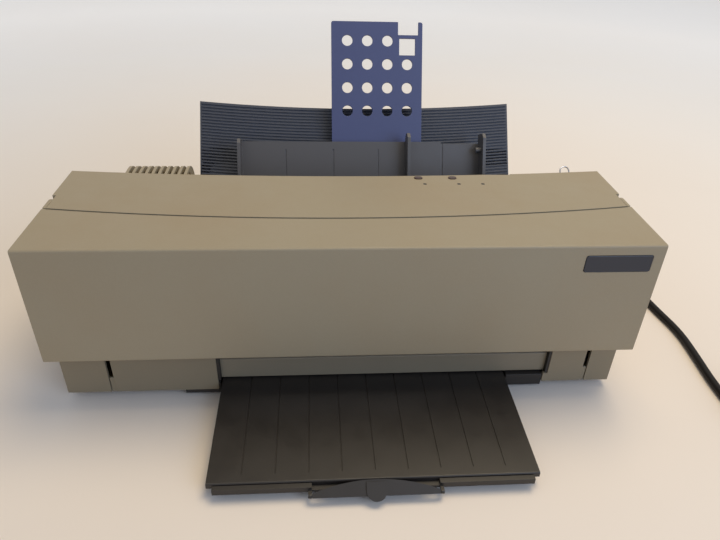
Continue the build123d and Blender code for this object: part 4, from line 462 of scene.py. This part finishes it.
def open_edit():
    """Opens the active piece in edit mode."""
    bpy.ops.object.mode_set(mode="EDIT")


def close_edit():
    """Leaves edit mode."""
    bpy.ops.object.mode_set(mode="OBJECT")


def merged_copy(node):
    """A joined-up copy of a node's mesh, with flat faces whole again."""
    source = frame["nodes"][node]
    piece = bpy.data.objects.new(node + "_finished", source.data.copy())
    bpy.context.scene.collection.objects.link(piece)
    select_only(piece)
    open_edit()
    bpy.ops.mesh.select_all(action="SELECT")
    bpy.ops.mesh.remove_doubles(threshold=WELD_GAP)
    bpy.ops.mesh.dissolve_limited(angle_limit=FLAT_ANGLE)
    close_edit()
    return piece


def dress(node, finish, edge, steps=2, angle=SHARP_ANGLE):
    """Replaces a node with a copy whose edges are rounded."""
    piece = merged_copy(node)
    round_edges(piece, edge, steps, angle)
    settle(piece, node + "_finished", node_body(node), finish)
    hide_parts(node)
    return piece


def dress_all(nodes, finish, edge, steps=2, angle=SHARP_ANGLE):
    """Dresses several nodes alike."""
    for node in nodes:
        dress(node, finish, edge, steps, angle)


def pick(piece, test):
    """Opens a piece in edit mode with the faces picked that pass a test of centre and normal."""
    select_only(piece)
    open_edit()
    bpy.ops.mesh.select_mode(type="FACE")
    bpy.ops.mesh.select_all(action="DESELECT")
    close_edit()
    for face in piece.data.polygons:
        face.select = test(face.center, face.normal)
    open_edit()


def inset(width, depth=0.0):
    """Insets the picked faces, and moves them in by a depth."""
    bpy.ops.mesh.inset(thickness=width, depth=-depth, use_even_offset=True)


def add_block(low, high):
    """A box between two corners, ready for shaping."""
    low, high = Vector(low), Vector(high)
    bpy.ops.object.select_all(action="DESELECT")
    bpy.ops.mesh.primitive_cube_add(size=1, location=(low + high) / 2, scale=high - low)
    bpy.ops.object.transform_apply(location=True, rotation=True, scale=True)
    return bpy.context.object


def add_disc(radius, depth, sides):
    """A round bar standing on the origin, ready for shaping."""
    bpy.ops.object.select_all(action="DESELECT")
    bpy.ops.mesh.primitive_cylinder_add(
        vertices=sides, radius=radius, depth=depth, location=(0, 0, depth / 2)
    )
    bpy.ops.object.transform_apply(location=True, rotation=True, scale=True)
    return bpy.context.object


def repeat(model, places):
    """Joins copies of a model at several places into one piece, in place of the model."""
    copies = []
    for place in places:
        copy = bpy.data.objects.new(model.name, model.data.copy())
        copy.matrix_world = place
        bpy.context.scene.collection.objects.link(copy)
        copies.append(copy)
    bpy.data.objects.remove(model)
    bpy.ops.object.select_all(action="DESELECT")
    for copy in copies:
        copy.select_set(True)
    bpy.context.view_layer.objects.active = copies[0]
    if len(copies) > 1:
        bpy.ops.object.join()
    return bpy.context.object


def moved(x, y, z, turn=None):
    """A place in millimetres as a matrix, with a turn before the move."""
    place = Matrix.Translation(Vector((x, y, z)) * MM)
    return place @ turn.to_4x4() if turn else place


def tint_faces(piece, finish, test):
    """Gives the faces that pass a test of centre and normal a second finish."""
    piece.data.materials.append(MATERIALS[finish])
    number = len(piece.data.materials) - 1
    for face in piece.data.polygons:
        if test(face.center, face.normal):
            face.material_index = number


# Stage, in metres

CAMERA_LENS = 30.68
CAMERA_SENSOR = 36
CAMERA_NEAR = 0.01
CAMERA_AHEAD = 347.08 * MM
CAMERA_LEFT = 23.82 * MM
CAMERA_RISE = 206.04 * MM
CAMERA_YAW = radians(4.975)
CAMERA_PITCH = radians(32.628)
CAMERA_ROLL = radians(2.052)
TABLE_SIZE = 9.0
TABLE_EDGE = 0.4
TABLE_CUTS = 4
SKY_TONE = (222, 232, 248)
SKY_LIGHT = 0.46
SKY_SHOWN = 0.9

# Name, place, point aimed at, width, watts and tone of each lamp
LAMPS = (
    ("lamp_overhead", (0.35, 0.18, 1.45), (0, 0.02, 0.1), 0.8, 12, (255, 236, 200)),
    ("lamp_front", (0.95, -1.15, 0.75), (0, 0, 0.08), 0.9, 9, (184, 212, 255)),
)


def add_camera():
    """The camera at the photograph's place and angle."""
    flat = cos(CAMERA_PITCH)
    ahead = Vector((sin(CAMERA_YAW) * flat, cos(CAMERA_YAW) * flat, -sin(CAMERA_PITCH)))
    level = Vector((cos(CAMERA_YAW), -sin(CAMERA_YAW), 0))
    upright = level.cross(ahead)
    right = level * cos(CAMERA_ROLL) + upright * sin(CAMERA_ROLL)
    up = upright * cos(CAMERA_ROLL) - level * sin(CAMERA_ROLL)
    place = Vector((-CAMERA_LEFT, front_y - CAMERA_AHEAD, top_z + CAMERA_RISE))
    camera = bpy.data.objects.new("camera", bpy.data.cameras.new("camera"))
    camera.data.lens = CAMERA_LENS
    camera.data.sensor_width = CAMERA_SENSOR
    camera.data.clip_start = CAMERA_NEAR
    turn = Matrix((right, up, -ahead)).transposed()
    camera.matrix_world = Matrix.Translation(place) @ turn.to_4x4()
    bpy.context.scene.collection.objects.link(camera)
    bpy.context.scene.camera = camera


def add_lamp(name, place, aim, width, power, tone):
    """A soft square lamp aimed at a point."""
    lamp = bpy.data.lights.new(name, "AREA")
    lamp.shape = "SQUARE"
    lamp.size = width
    lamp.energy = power
    lamp.color = paint(*tone)
    holder = bpy.data.objects.new(name, lamp)
    holder.location = place
    holder.rotation_euler = (Vector(aim) - Vector(place)).to_track_quat("-Z", "Y").to_euler()
    bpy.context.scene.collection.objects.link(holder)


def add_sky():
    """Soft cool light from all round, and a paler sky for what is seen or mirrored."""
    world = bpy.data.worlds.new("studio")
    world.use_nodes = True
    tree = world.node_tree
    light = tree.nodes["Background"]
    light.inputs["Color"].default_value = fixed(*SKY_TONE)
    light.inputs["Strength"].default_value = SKY_LIGHT
    shown = tree.nodes.new("ShaderNodeBackground")
    shown.inputs["Color"].default_value = colour("backdrop")
    shown.inputs["Strength"].default_value = SKY_SHOWN
    rays = tree.nodes.new("ShaderNodeLightPath")
    flags = rays.outputs["Is Camera Ray"]
    for kind in ("Is Glossy Ray", "Is Transmission Ray"):
        either = tree.nodes.new("ShaderNodeMath")
        either.operation = "MAXIMUM"
        tree.links.new(flags, either.inputs[0])
        tree.links.new(rays.outputs[kind], either.inputs[1])
        flags = either.outputs[0]
    mix = tree.nodes.new("ShaderNodeMixShader")
    tree.links.new(flags, mix.inputs[0])
    tree.links.new(light.outputs[0], mix.inputs[1])
    tree.links.new(shown.outputs[0], mix.inputs[2])
    tree.links.new(mix.outputs[0], tree.nodes["World Output"].inputs["Surface"])
    bpy.context.scene.world = world


class PRINTER_OT_stage(Operator):
    """Adds the table, the sky, the lamps and the camera"""

    bl_idname = "printer.stage"
    bl_label = "Stage"

    def execute(self, context):
        """Builds the stage."""
        bpy.ops.object.select_all(action="DESELECT")
        bpy.ops.mesh.primitive_plane_add(size=TABLE_SIZE)
        table = context.object
        open_edit()
        bpy.ops.mesh.inset(thickness=TABLE_EDGE)
        bpy.ops.mesh.subdivide(number_cuts=TABLE_CUTS)
        close_edit()
        table.name = "table_top"
        table.data.materials.append(MATERIALS["table"])
        add_sky()
        for lamp in LAMPS:
            add_lamp(*lamp)
        context.scene.view_settings.view_transform = "Standard"
        add_camera()
        return {"FINISHED"}


# Power cord, in metres, with depths behind the cover's front

CORD_X = 0.195
CORD_EXIT_DEPTH = 0.1945
CORD_HEIGHT = 0.024
CORD_ROUTE = (
    (0.195, 0.2385, 0.024),
    (0.197, 0.264, 0.020),
    (0.212, 0.292, 0.012),
    (0.245, 0.308, 0.005),
    (0.280, 0.300, 0.0034),
    (0.300, 0.268, 0.0034),
    (0.306, 0.225, 0.0034),
    (0.305, 0.180, 0.0034),
    (0.303, 0.140, 0.0034),
    (0.3065, 0.110, 0.0034),
    (0.3115, 0.078, 0.0034),
    (0.309, 0.045, 0.0034),
    (0.305, 0.008, 0.0034),
)
CORD_ORDER = 3
CORD_STEPS = 6
CORD_ROUNDNESS = 5
COIL_X = 0.352
COIL_DEPTH = -0.039
COIL_OUTER = 0.046
COIL_PITCH = 0.0084
COIL_TURNS = 6.2
COIL_CORNERS = 10
COIL_CLIMB_STEPS = 3
COIL_LAYER = 0.0076
COIL_TAIL = 0.034
COIL_TAIL_TURN = radians(-30)


def coil_points(radius):
    """The put-away coil: inward on the table, up one layer, outward again, and off to the plug."""
    points = []
    steps = round(COIL_TURNS * COIL_CORNERS)
    half_steps = (steps - COIL_CLIMB_STEPS) // 2
    for step in range(steps + 1):
        angle = pi + step * 2 * pi / COIL_CORNERS
        inward = min(step, half_steps)
        outward = max(0, step - half_steps - COIL_CLIMB_STEPS)
        climb = min(1, max(0, (step - half_steps) / COIL_CLIMB_STEPS))
        reach = COIL_OUTER - COIL_PITCH * (inward - outward) / COIL_CORNERS
        x = COIL_X + reach * cos(angle)
        y = front_y + COIL_DEPTH + reach * sin(angle)
        points.append(Vector((x, y, radius + climb * COIL_LAYER)))
    tail = (points[-1] - points[-2]).normalized()
    tail.rotate(Matrix.Rotation(COIL_TAIL_TURN, 3, "Z"))
    return points + [points[-1] + tail * COIL_TAIL]


class PRINTER_OT_cord(Operator):
    """Adds the power cord with its strain relief, coil and plug"""

    bl_idname = "printer.cord"
    bl_label = "Power cord"

    def execute(self, context):
        """Lays the cord along its route."""
        radius = size("cord_diameter") / 2
        start = Vector((CORD_X, front_y + CORD_EXIT_DEPTH, CORD_HEIGHT))
        route = [start] + [Vector((x, front_y + depth, z)) for x, depth, z in CORD_ROUTE]
        points = route + coil_points(radius)
        line = bpy.data.curves.new("power_cord_lead", "CURVE")
        line.dimensions = "3D"
        spline = line.splines.new("NURBS")
        spline.points.add(len(points) - 1)
        for point, place in zip(spline.points, points):
            point.co = (*place, 1)
        spline.order_u = CORD_ORDER
        spline.use_endpoint_u = True
        spline.resolution_u = CORD_STEPS
        line.bevel_depth = radius
        line.bevel_resolution = CORD_ROUNDNESS
        line.use_fill_caps = True
        lead = bpy.data.objects.new("power_cord_lead", line)
        context.scene.collection.objects.link(lead)
        line.materials.append(MATERIALS["lead"])
        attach(lead, "cabinet")
        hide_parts("power_cord", "cord_coil")
        relief = dress("strain_relief", "lead", size("part_edge"))
        plug = dress("power_plug", "lead", size("shell_edge"), steps=3)
        return {"FINISHED"}


# Case, in millimetres

RIM_WIDTH = 0.5
RIM_DEPTH = 0.12
COVER_WALL = 2.5
COVER_RIBS = 9
COVER_RIB_PITCH = 46.0
COVER_RIB_HALF = 0.8
COVER_RIB_FRONT = 16.0
COVER_RIB_BACK = 42.0
COVER_RIB_HIGH = 4.5
COVER_RIB_TAPER = 0.3


def add_nameplate_rim():
    """Sinks the bare nameplate's face inside a fine rim."""
    plate = bpy.data.objects["nameplate_finished"]
    fronts = [face for face in plate.data.polygons if face.normal.y < -FACING]
    middle = max(fronts, key=lambda face: face.area).center.copy()
    pick(plate, lambda centre, normal: (centre - middle).length < SAME_PLACE)
    inset(RIM_WIDTH * MM)
    inset(RIM_DEPTH * MM, RIM_DEPTH * MM)
    close_edit()
    round_edges(plate, 0)


def add_cover_ribs():
    """Stiffening ribs under the cover's top, seen when it is open."""
    under = top_z / MM - COVER_WALL
    front = front_y / MM
    model = add_block(
        Vector((-COVER_RIB_HALF, front + COVER_RIB_FRONT, under - COVER_RIB_HIGH)) * MM,
        Vector((COVER_RIB_HALF, front + COVER_RIB_BACK, under + COVER_RIB_HALF)) * MM,
    )
    pick(model, lambda centre, normal: normal.y > FACING)
    back = (front + COVER_RIB_BACK) * MM
    bpy.ops.transform.resize(value=(1, 1, COVER_RIB_TAPER), center_override=(0, back, under * MM))
    close_edit()
    round_edges(model, size("fine_edge"))
    middle = (COVER_RIBS - 1) / 2
    places = [moved((rib - middle) * COVER_RIB_PITCH, 0, 0) for rib in range(COVER_RIBS)]
    settle(repeat(model, places), "cover_ribs", "cover", "case")


class PRINTER_OT_case(Operator):
    """Finishes the case, the cover, the base and the front"""

    bl_idname = "printer.case"
    bl_label = "Case"

    def execute(self, context):
        """Dresses the case's shells."""
        dress_all(("upper_case", "front_cover"), "case", size("shell_edge"), steps=3)
        dress_all(("base_pan", "front_bezel"), "base", size("shell_edge"), steps=3)
        dress("exit_panel", "exit_grey", size("part_edge"))
        dress_all(("exit_frame", "tray_housing"), "housing", size("part_edge"))
        dress("nameplate", "nameplate", size("fine_edge"))
        add_nameplate_rim()
        add_cover_ribs()
        dress("hinge_pins", "ground", size("fine_edge"))
        dress("rubber_feet", "rubber", size("part_edge"))
        dress("case_screws", "ground", size("fine_edge"))
        return {"FINISHED"}


class PRINTER_OT_tray(Operator):
    """Finishes the output tray with its extension and stopper"""

    bl_idname = "printer.tray"
    bl_label = "Output tray"

    def execute(self, context):
        """Dresses the tray's parts."""
        dress_all(("output_tray", "tray_extension", "tray_stopper"), "black", size("fine_edge"))
        return {"FINISHED"}


class PRINTER_OT_feeder(Operator):
    """Finishes the sheet feeder, its cover and the paper support"""

    bl_idname = "printer.feeder"
    bl_label = "Sheet feeder"

    def execute(self, context):
        """Dresses the feeder's parts."""
        dress_all(("paper_hopper", "edge_guide"), "feeder", size("part_edge"))
        dress("feeder_cover", "slate", size("part_edge"))
        dress("paper_support", "blue", size("part_edge"))
        dress("pressure_plate", "steel", size("fine_edge"))
        return {"FINISHED"}


class PRINTER_OT_controls(Operator):
    """Finishes the buttons, the lamps and their board"""

    bl_idname = "printer.controls"
    bl_label = "Controls"

    def execute(self, context):
        """Dresses the controls."""
        dress_all(("power_button", "feed_button"), "button", size("part_edge"), steps=3)
        dress("indicator_lenses", "lens", size("part_edge"), steps=3)
        dress("control_board", "board", size("fine_edge"))
        return {"FINISHED"}


# Mechanism, in millimetres

HUB_RADIUS = 4.6
HUB_BORE = 2.9
HUB_DEPTH = 13.0
HUB_FLOOR = 1.0
HUB_SIDES = 24
HUB_TEETH = 6
HUB_TOOTH = 0.8
HUB_TOOTH_START = Vector((1, 0.13))
HUB_BORE_SPARE = 0.2
HUB_EDGE = 0.12
HUB_OFFSET = (22.0, -6.0)
CASSETTE_THICKNESS = 15.0
CASSETTE_HEIGHT = 52.0
CASSETTES_RACKED = 4
WINDOW_HALF = 13.0
WINDOW_DEPTH = 12.0
FILM_HALF = 0.08
FILM_MARGIN = 1.0
FILM_CUTS = 7
FILM_SAG = 1.2
BELT_TOOTH = 0.55
BELT_TOOTH_SUNK = 0.1
BELT_TOOTH_TIP = 0.6
BELT_TOOTH_EDGE = 0.06
BELT_PITCH = 3.0
BELT_EDGE = 0.5
BELT_SPAN = 170.0
BELT_WALL = 1.4
CONTACT_ROW = 18
CONTACT_PITCH = 2.16
CONTACT_HALF = 0.45
CONTACT_LONG = 3.4
CONTACT_TOP = 0.3
CONTACT_PROUD = 0.3
CONTACT_EDGE = 0.08
TONGUE_HALF = 2.5
SLOPE_TURN = radians(-40)
CONNECTOR_SHELL = 4.5
BOARD_TOP = 14.6
POST_TOP = 13.0
SWITCH_BOARD = 1.6
WINDING_HALF = 14.0
CORE_END = 4.0
FACE_SPARE = 0.05
GEAR_ANGLE = 30


def ribbon_hub():
    """One toothed hub of a ribbon cassette, standing on the origin."""
    hub = add_disc(HUB_RADIUS * MM, HUB_DEPTH * MM, HUB_SIDES)
    pick(hub, lambda centre, normal: normal.z > FACING)
    inset((HUB_RADIUS - HUB_BORE) * MM)
    bore = (HUB_DEPTH - HUB_FLOOR) * MM
    bpy.ops.mesh.extrude_region_shrink_fatten(TRANSFORM_OT_shrink_fatten={"value": -bore})
    close_edit()

    def carries_tooth(centre, normal):
        """Whether a face is one of the evenly spaced strips of the bore's wall."""
        if abs(normal.z) > 1 - FACING or centre.xy.length > (HUB_BORE + HUB_BORE_SPARE) * MM:
            return False
        turn = centre.to_2d().angle_signed(HUB_TOOTH_START)
        return turn % (2 * pi / HUB_TEETH) < pi / HUB_SIDES

    pick(hub, carries_tooth)
    bpy.ops.mesh.extrude_faces_move(TRANSFORM_OT_shrink_fatten={"value": HUB_TOOTH * MM})
    close_edit()
    round_edges(hub, HUB_EDGE * MM)
    return hub


def cassette_places():
    """Places of the racked cassettes and the loaded one, each the middle of its front face."""
    low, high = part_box("ribbon_cassettes")
    loaded_low, loaded_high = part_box("loaded_cassette")
    last = CASSETTES_RACKED - 1
    pitch = ((high.x - low.x) - (loaded_high.x - loaded_low.x)) / MM / last
    upright = Matrix.Rotation(pi / 2, 3, "X")
    middle = (low + high) / 2 / MM
    racked = [
        moved((number - last / 2) * pitch, low.y / MM, middle.z, upright)
        for number in range(CASSETTES_RACKED)
    ]
    flat = Matrix.Diagonal((-1, -1, 1))
    middle = (loaded_low + loaded_high) / 2 / MM
    return racked, moved(middle.x, middle.y, loaded_high.z / MM, flat)


def ribbon_film():
    """The film in a cassette's window, sagging towards its middle."""
    film = add_block(
        Vector((-WINDOW_HALF, -FILM_HALF, FILM_MARGIN)) * MM,
        Vector((WINDOW_HALF, FILM_HALF, CASSETTE_THICKNESS - FILM_MARGIN)) * MM,
    )
    pick(film, lambda centre, normal: True)
    bpy.ops.mesh.subdivide(number_cuts=FILM_CUTS)
    close_edit()
    for vertex in film.data.vertices:
        share = vertex.co.x / (WINDOW_HALF * MM)
        vertex.co.y += FILM_SAG * MM * (share * share)
    film.data.update()
    bpy.ops.object.shade_smooth()
    return film


def add_cassette_fittings():
    """Hubs and ribbon film of every cassette."""
    racked, loaded = cassette_places()
    sink = -(CASSETTE_THICKNESS + HUB_DEPTH) / 2
    lift = CASSETTE_HEIGHT / 2 - WINDOW_DEPTH + FILM_SAG
    across, along = HUB_OFFSET
    for name, body, places in (("racked", "cover", racked), ("loaded", "carriage", [loaded])):
        hubs = [place @ moved(side, along, sink) for place in places for side in (-across, across)]
        settle(repeat(ribbon_hub(), hubs), name + "_hubs", body, "gear")
        films = [place @ moved(0, lift, -CASSETTE_THICKNESS) for place in places]
        settle(repeat(ribbon_film(), films), name + "_films", body, "film")


def add_belt_teeth():
    """Teeth inside both runs of the drive belt."""
    low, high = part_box("drive_belt")
    half_depth = (high.y - low.y) / 2 / MM - BELT_EDGE
    half_width = BELT_PITCH / 4
    tooth = add_block(
        Vector((-half_width, -half_depth, -BELT_TOOTH_SUNK)) * MM,
        Vector((half_width, half_depth, BELT_TOOTH)) * MM,
    )
    pick(tooth, lambda centre, normal: normal.z > FACING)
    bpy.ops.transform.resize(value=(BELT_TOOTH_TIP, 1, 1))
    close_edit()
    round_edges(tooth, BELT_TOOTH_EDGE * MM, steps=1)
    middle = (low.y + high.y) / 2 / MM
    over = Matrix.Rotation(pi, 3, "Y")
    count = round(2 * BELT_SPAN / BELT_PITCH)
    places = []
    for number in range(count + 1):
        x = -BELT_SPAN + number * BELT_PITCH
        places.append(moved(x, middle, low.z / MM + BELT_WALL))
        places.append(moved(x, middle, high.z / MM - BELT_WALL, over))
    settle(repeat(tooth, places), "belt_teeth", "cabinet", "tyre")


def add_contacts():
    """Two rows of sprung contacts on the connector's tongue."""
    low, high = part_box("interface_connector")
    middle = (low + high) / 2 / MM
    tilt = Matrix.Rotation(SLOPE_TURN, 3, "X")
    contact = add_block(
        Vector((0, -CONTACT_HALF, -CONTACT_LONG)) * MM,
        Vector((CONTACT_PROUD, CONTACT_HALF, -CONTACT_TOP)) * MM,
    )
    pick(contact, lambda centre, normal: normal.z > FACING)
    bpy.ops.transform.translate(value=(-CONTACT_PROUD * MM / 2, 0, 0))
    close_edit()
    round_edges(contact, CONTACT_EDGE * MM, steps=1)
    open_end = moved(middle.x, middle.y, middle.z, tilt) @ moved(0, 0, CONNECTOR_SHELL)
    places = []
    for number in range(CONTACT_ROW):
        along = (number - (CONTACT_ROW - 1) / 2) * CONTACT_PITCH
        for turn in (0, pi):
            side = Matrix.Rotation(turn, 4, "Z")
            places.append(open_end @ moved(0, along, 0) @ side @ moved(TONGUE_HALF, 0, 0))
    settle(repeat(contact, places), "connector_contacts", "cabinet", "copper")


def add_part_finishes():
    """Second finishes: chips and posts on the board, and the transformer's winding."""
    board = bpy.data.objects["main_board_finished"]
    tint_faces(board, "chip", lambda centre, normal: centre.z > (BOARD_TOP + FACE_SPARE) * MM)
    tint_faces(board, "ground", lambda centre, normal: centre.z < (POST_TOP - FACE_SPARE) * MM)
    switches = bpy.data.objects["control_board_finished"]
    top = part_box("control_board")[0].z + (SWITCH_BOARD + FACE_SPARE) * MM
    tint_faces(switches, "chip", lambda centre, normal: centre.z > top)
    transformer = bpy.data.objects["power_transformer_finished"]
    low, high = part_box("power_transformer")
    middle = (low + high) / 2
    core_half = (high.y - low.y) / 2 - (CORE_END - FACE_SPARE) * MM
    winding_half = (WINDING_HALF + FACE_SPARE) * MM
    tint_faces(
        transformer,
        "winding",
        lambda centre, normal: abs(centre.x - middle.x) < winding_half
        and abs(centre.y - middle.y) >= core_half,
    )


class PRINTER_OT_mechanism(Operator):
    """Finishes the print mechanism, the drives and the electronics"""

    bl_idname = "printer.mechanism"
    bl_label = "Mechanism"

    def execute(self, context):
        """Dresses the working parts."""
        fine = size("fine_edge")
        dress_all(("left_side_plate", "right_side_plate", "front_rail"), "steel", fine)
        dress_all(("paper_guide", "platen_bar", "pinch_bracket"), "steel", fine)
        dress_all(("carriage_shaft", "feed_roller", "upper_bail", "lower_bail"), "ground", fine)
        dress_all(("feed_tyres", "exit_roller", "pickup_roller"), "tyre", fine)
        dress_all(("platen_pad", "drive_belt"), "tyre", fine)
        gears = ("feed_gear", "exit_gear", "idler_gear", "pickup_gear", "feed_pinion")
        dress_all(gears, "gear", fine, angle=GEAR_ANGLE)
        dress_all(("motor_pulley", "idler_pulley", "pinch_rollers"), "gear", fine)
        dress_all(("carriage_motor", "feed_motor", "power_transformer"), "steel", size("part_edge"))
        dress_all(("print_carriage", "cassette_rack"), "housing", size("part_edge"))
        dress_all(("ribbon_cassettes", "loaded_cassette"), "cassette", size("part_edge"))
        dress("thermal_head", "ceramic", fine)
        dress("main_board", "board", fine)
        dress("interface_connector", "shell", fine)
        add_cassette_fittings()
        add_belt_teeth()
        add_contacts()
        add_part_finishes()
        return {"FINISHED"}


# Panel and registration


class PRINTER_PT_parts(Panel):
    """Lists the printer's pieces in the sidebar"""

    bl_idname = "PRINTER_PT_parts"
    bl_label = "Thermal printer"
    bl_space_type = "VIEW_3D"
    bl_region_type = "UI"
    bl_category = "Printer"

    def draw(self, context):
        """Draws the buttons and the settings."""
        for operator in OPERATORS:
            self.layout.operator(operator.bl_idname)
        for group in (context.scene.printer_sizes, context.scene.printer_colours):
            for key in group.bl_rna.properties.keys():
                if key not in ("rna_type", "name"):
                    self.layout.prop(group, key)


OPERATORS = (
    PRINTER_OT_stage,
    PRINTER_OT_cord,
    PRINTER_OT_case,
    PRINTER_OT_tray,
    PRINTER_OT_feeder,
    PRINTER_OT_controls,
    PRINTER_OT_mechanism,
)
CLASSES = (PrinterColours, PrinterSizes, *OPERATORS, PRINTER_PT_parts)


def register():
    """Registers the classes and the settings."""
    for item in CLASSES:
        bpy.utils.register_class(item)
    bpy.types.Scene.printer_colours = PointerProperty(type=PrinterColours)
    bpy.types.Scene.printer_sizes = PointerProperty(type=PrinterSizes)


def unregister():
    """Removes the settings and the classes."""
    del bpy.types.Scene.printer_sizes
    del bpy.types.Scene.printer_colours
    for item in reversed(CLASSES):
        bpy.utils.unregister_class(item)


def main():
    """Builds the whole scene."""
    register()
    make_materials()
    for operator in OPERATORS:
        module, action = operator.bl_idname.split(".")
        getattr(getattr(bpy.ops, module), action)()


if __name__ == "__main__":
    main()
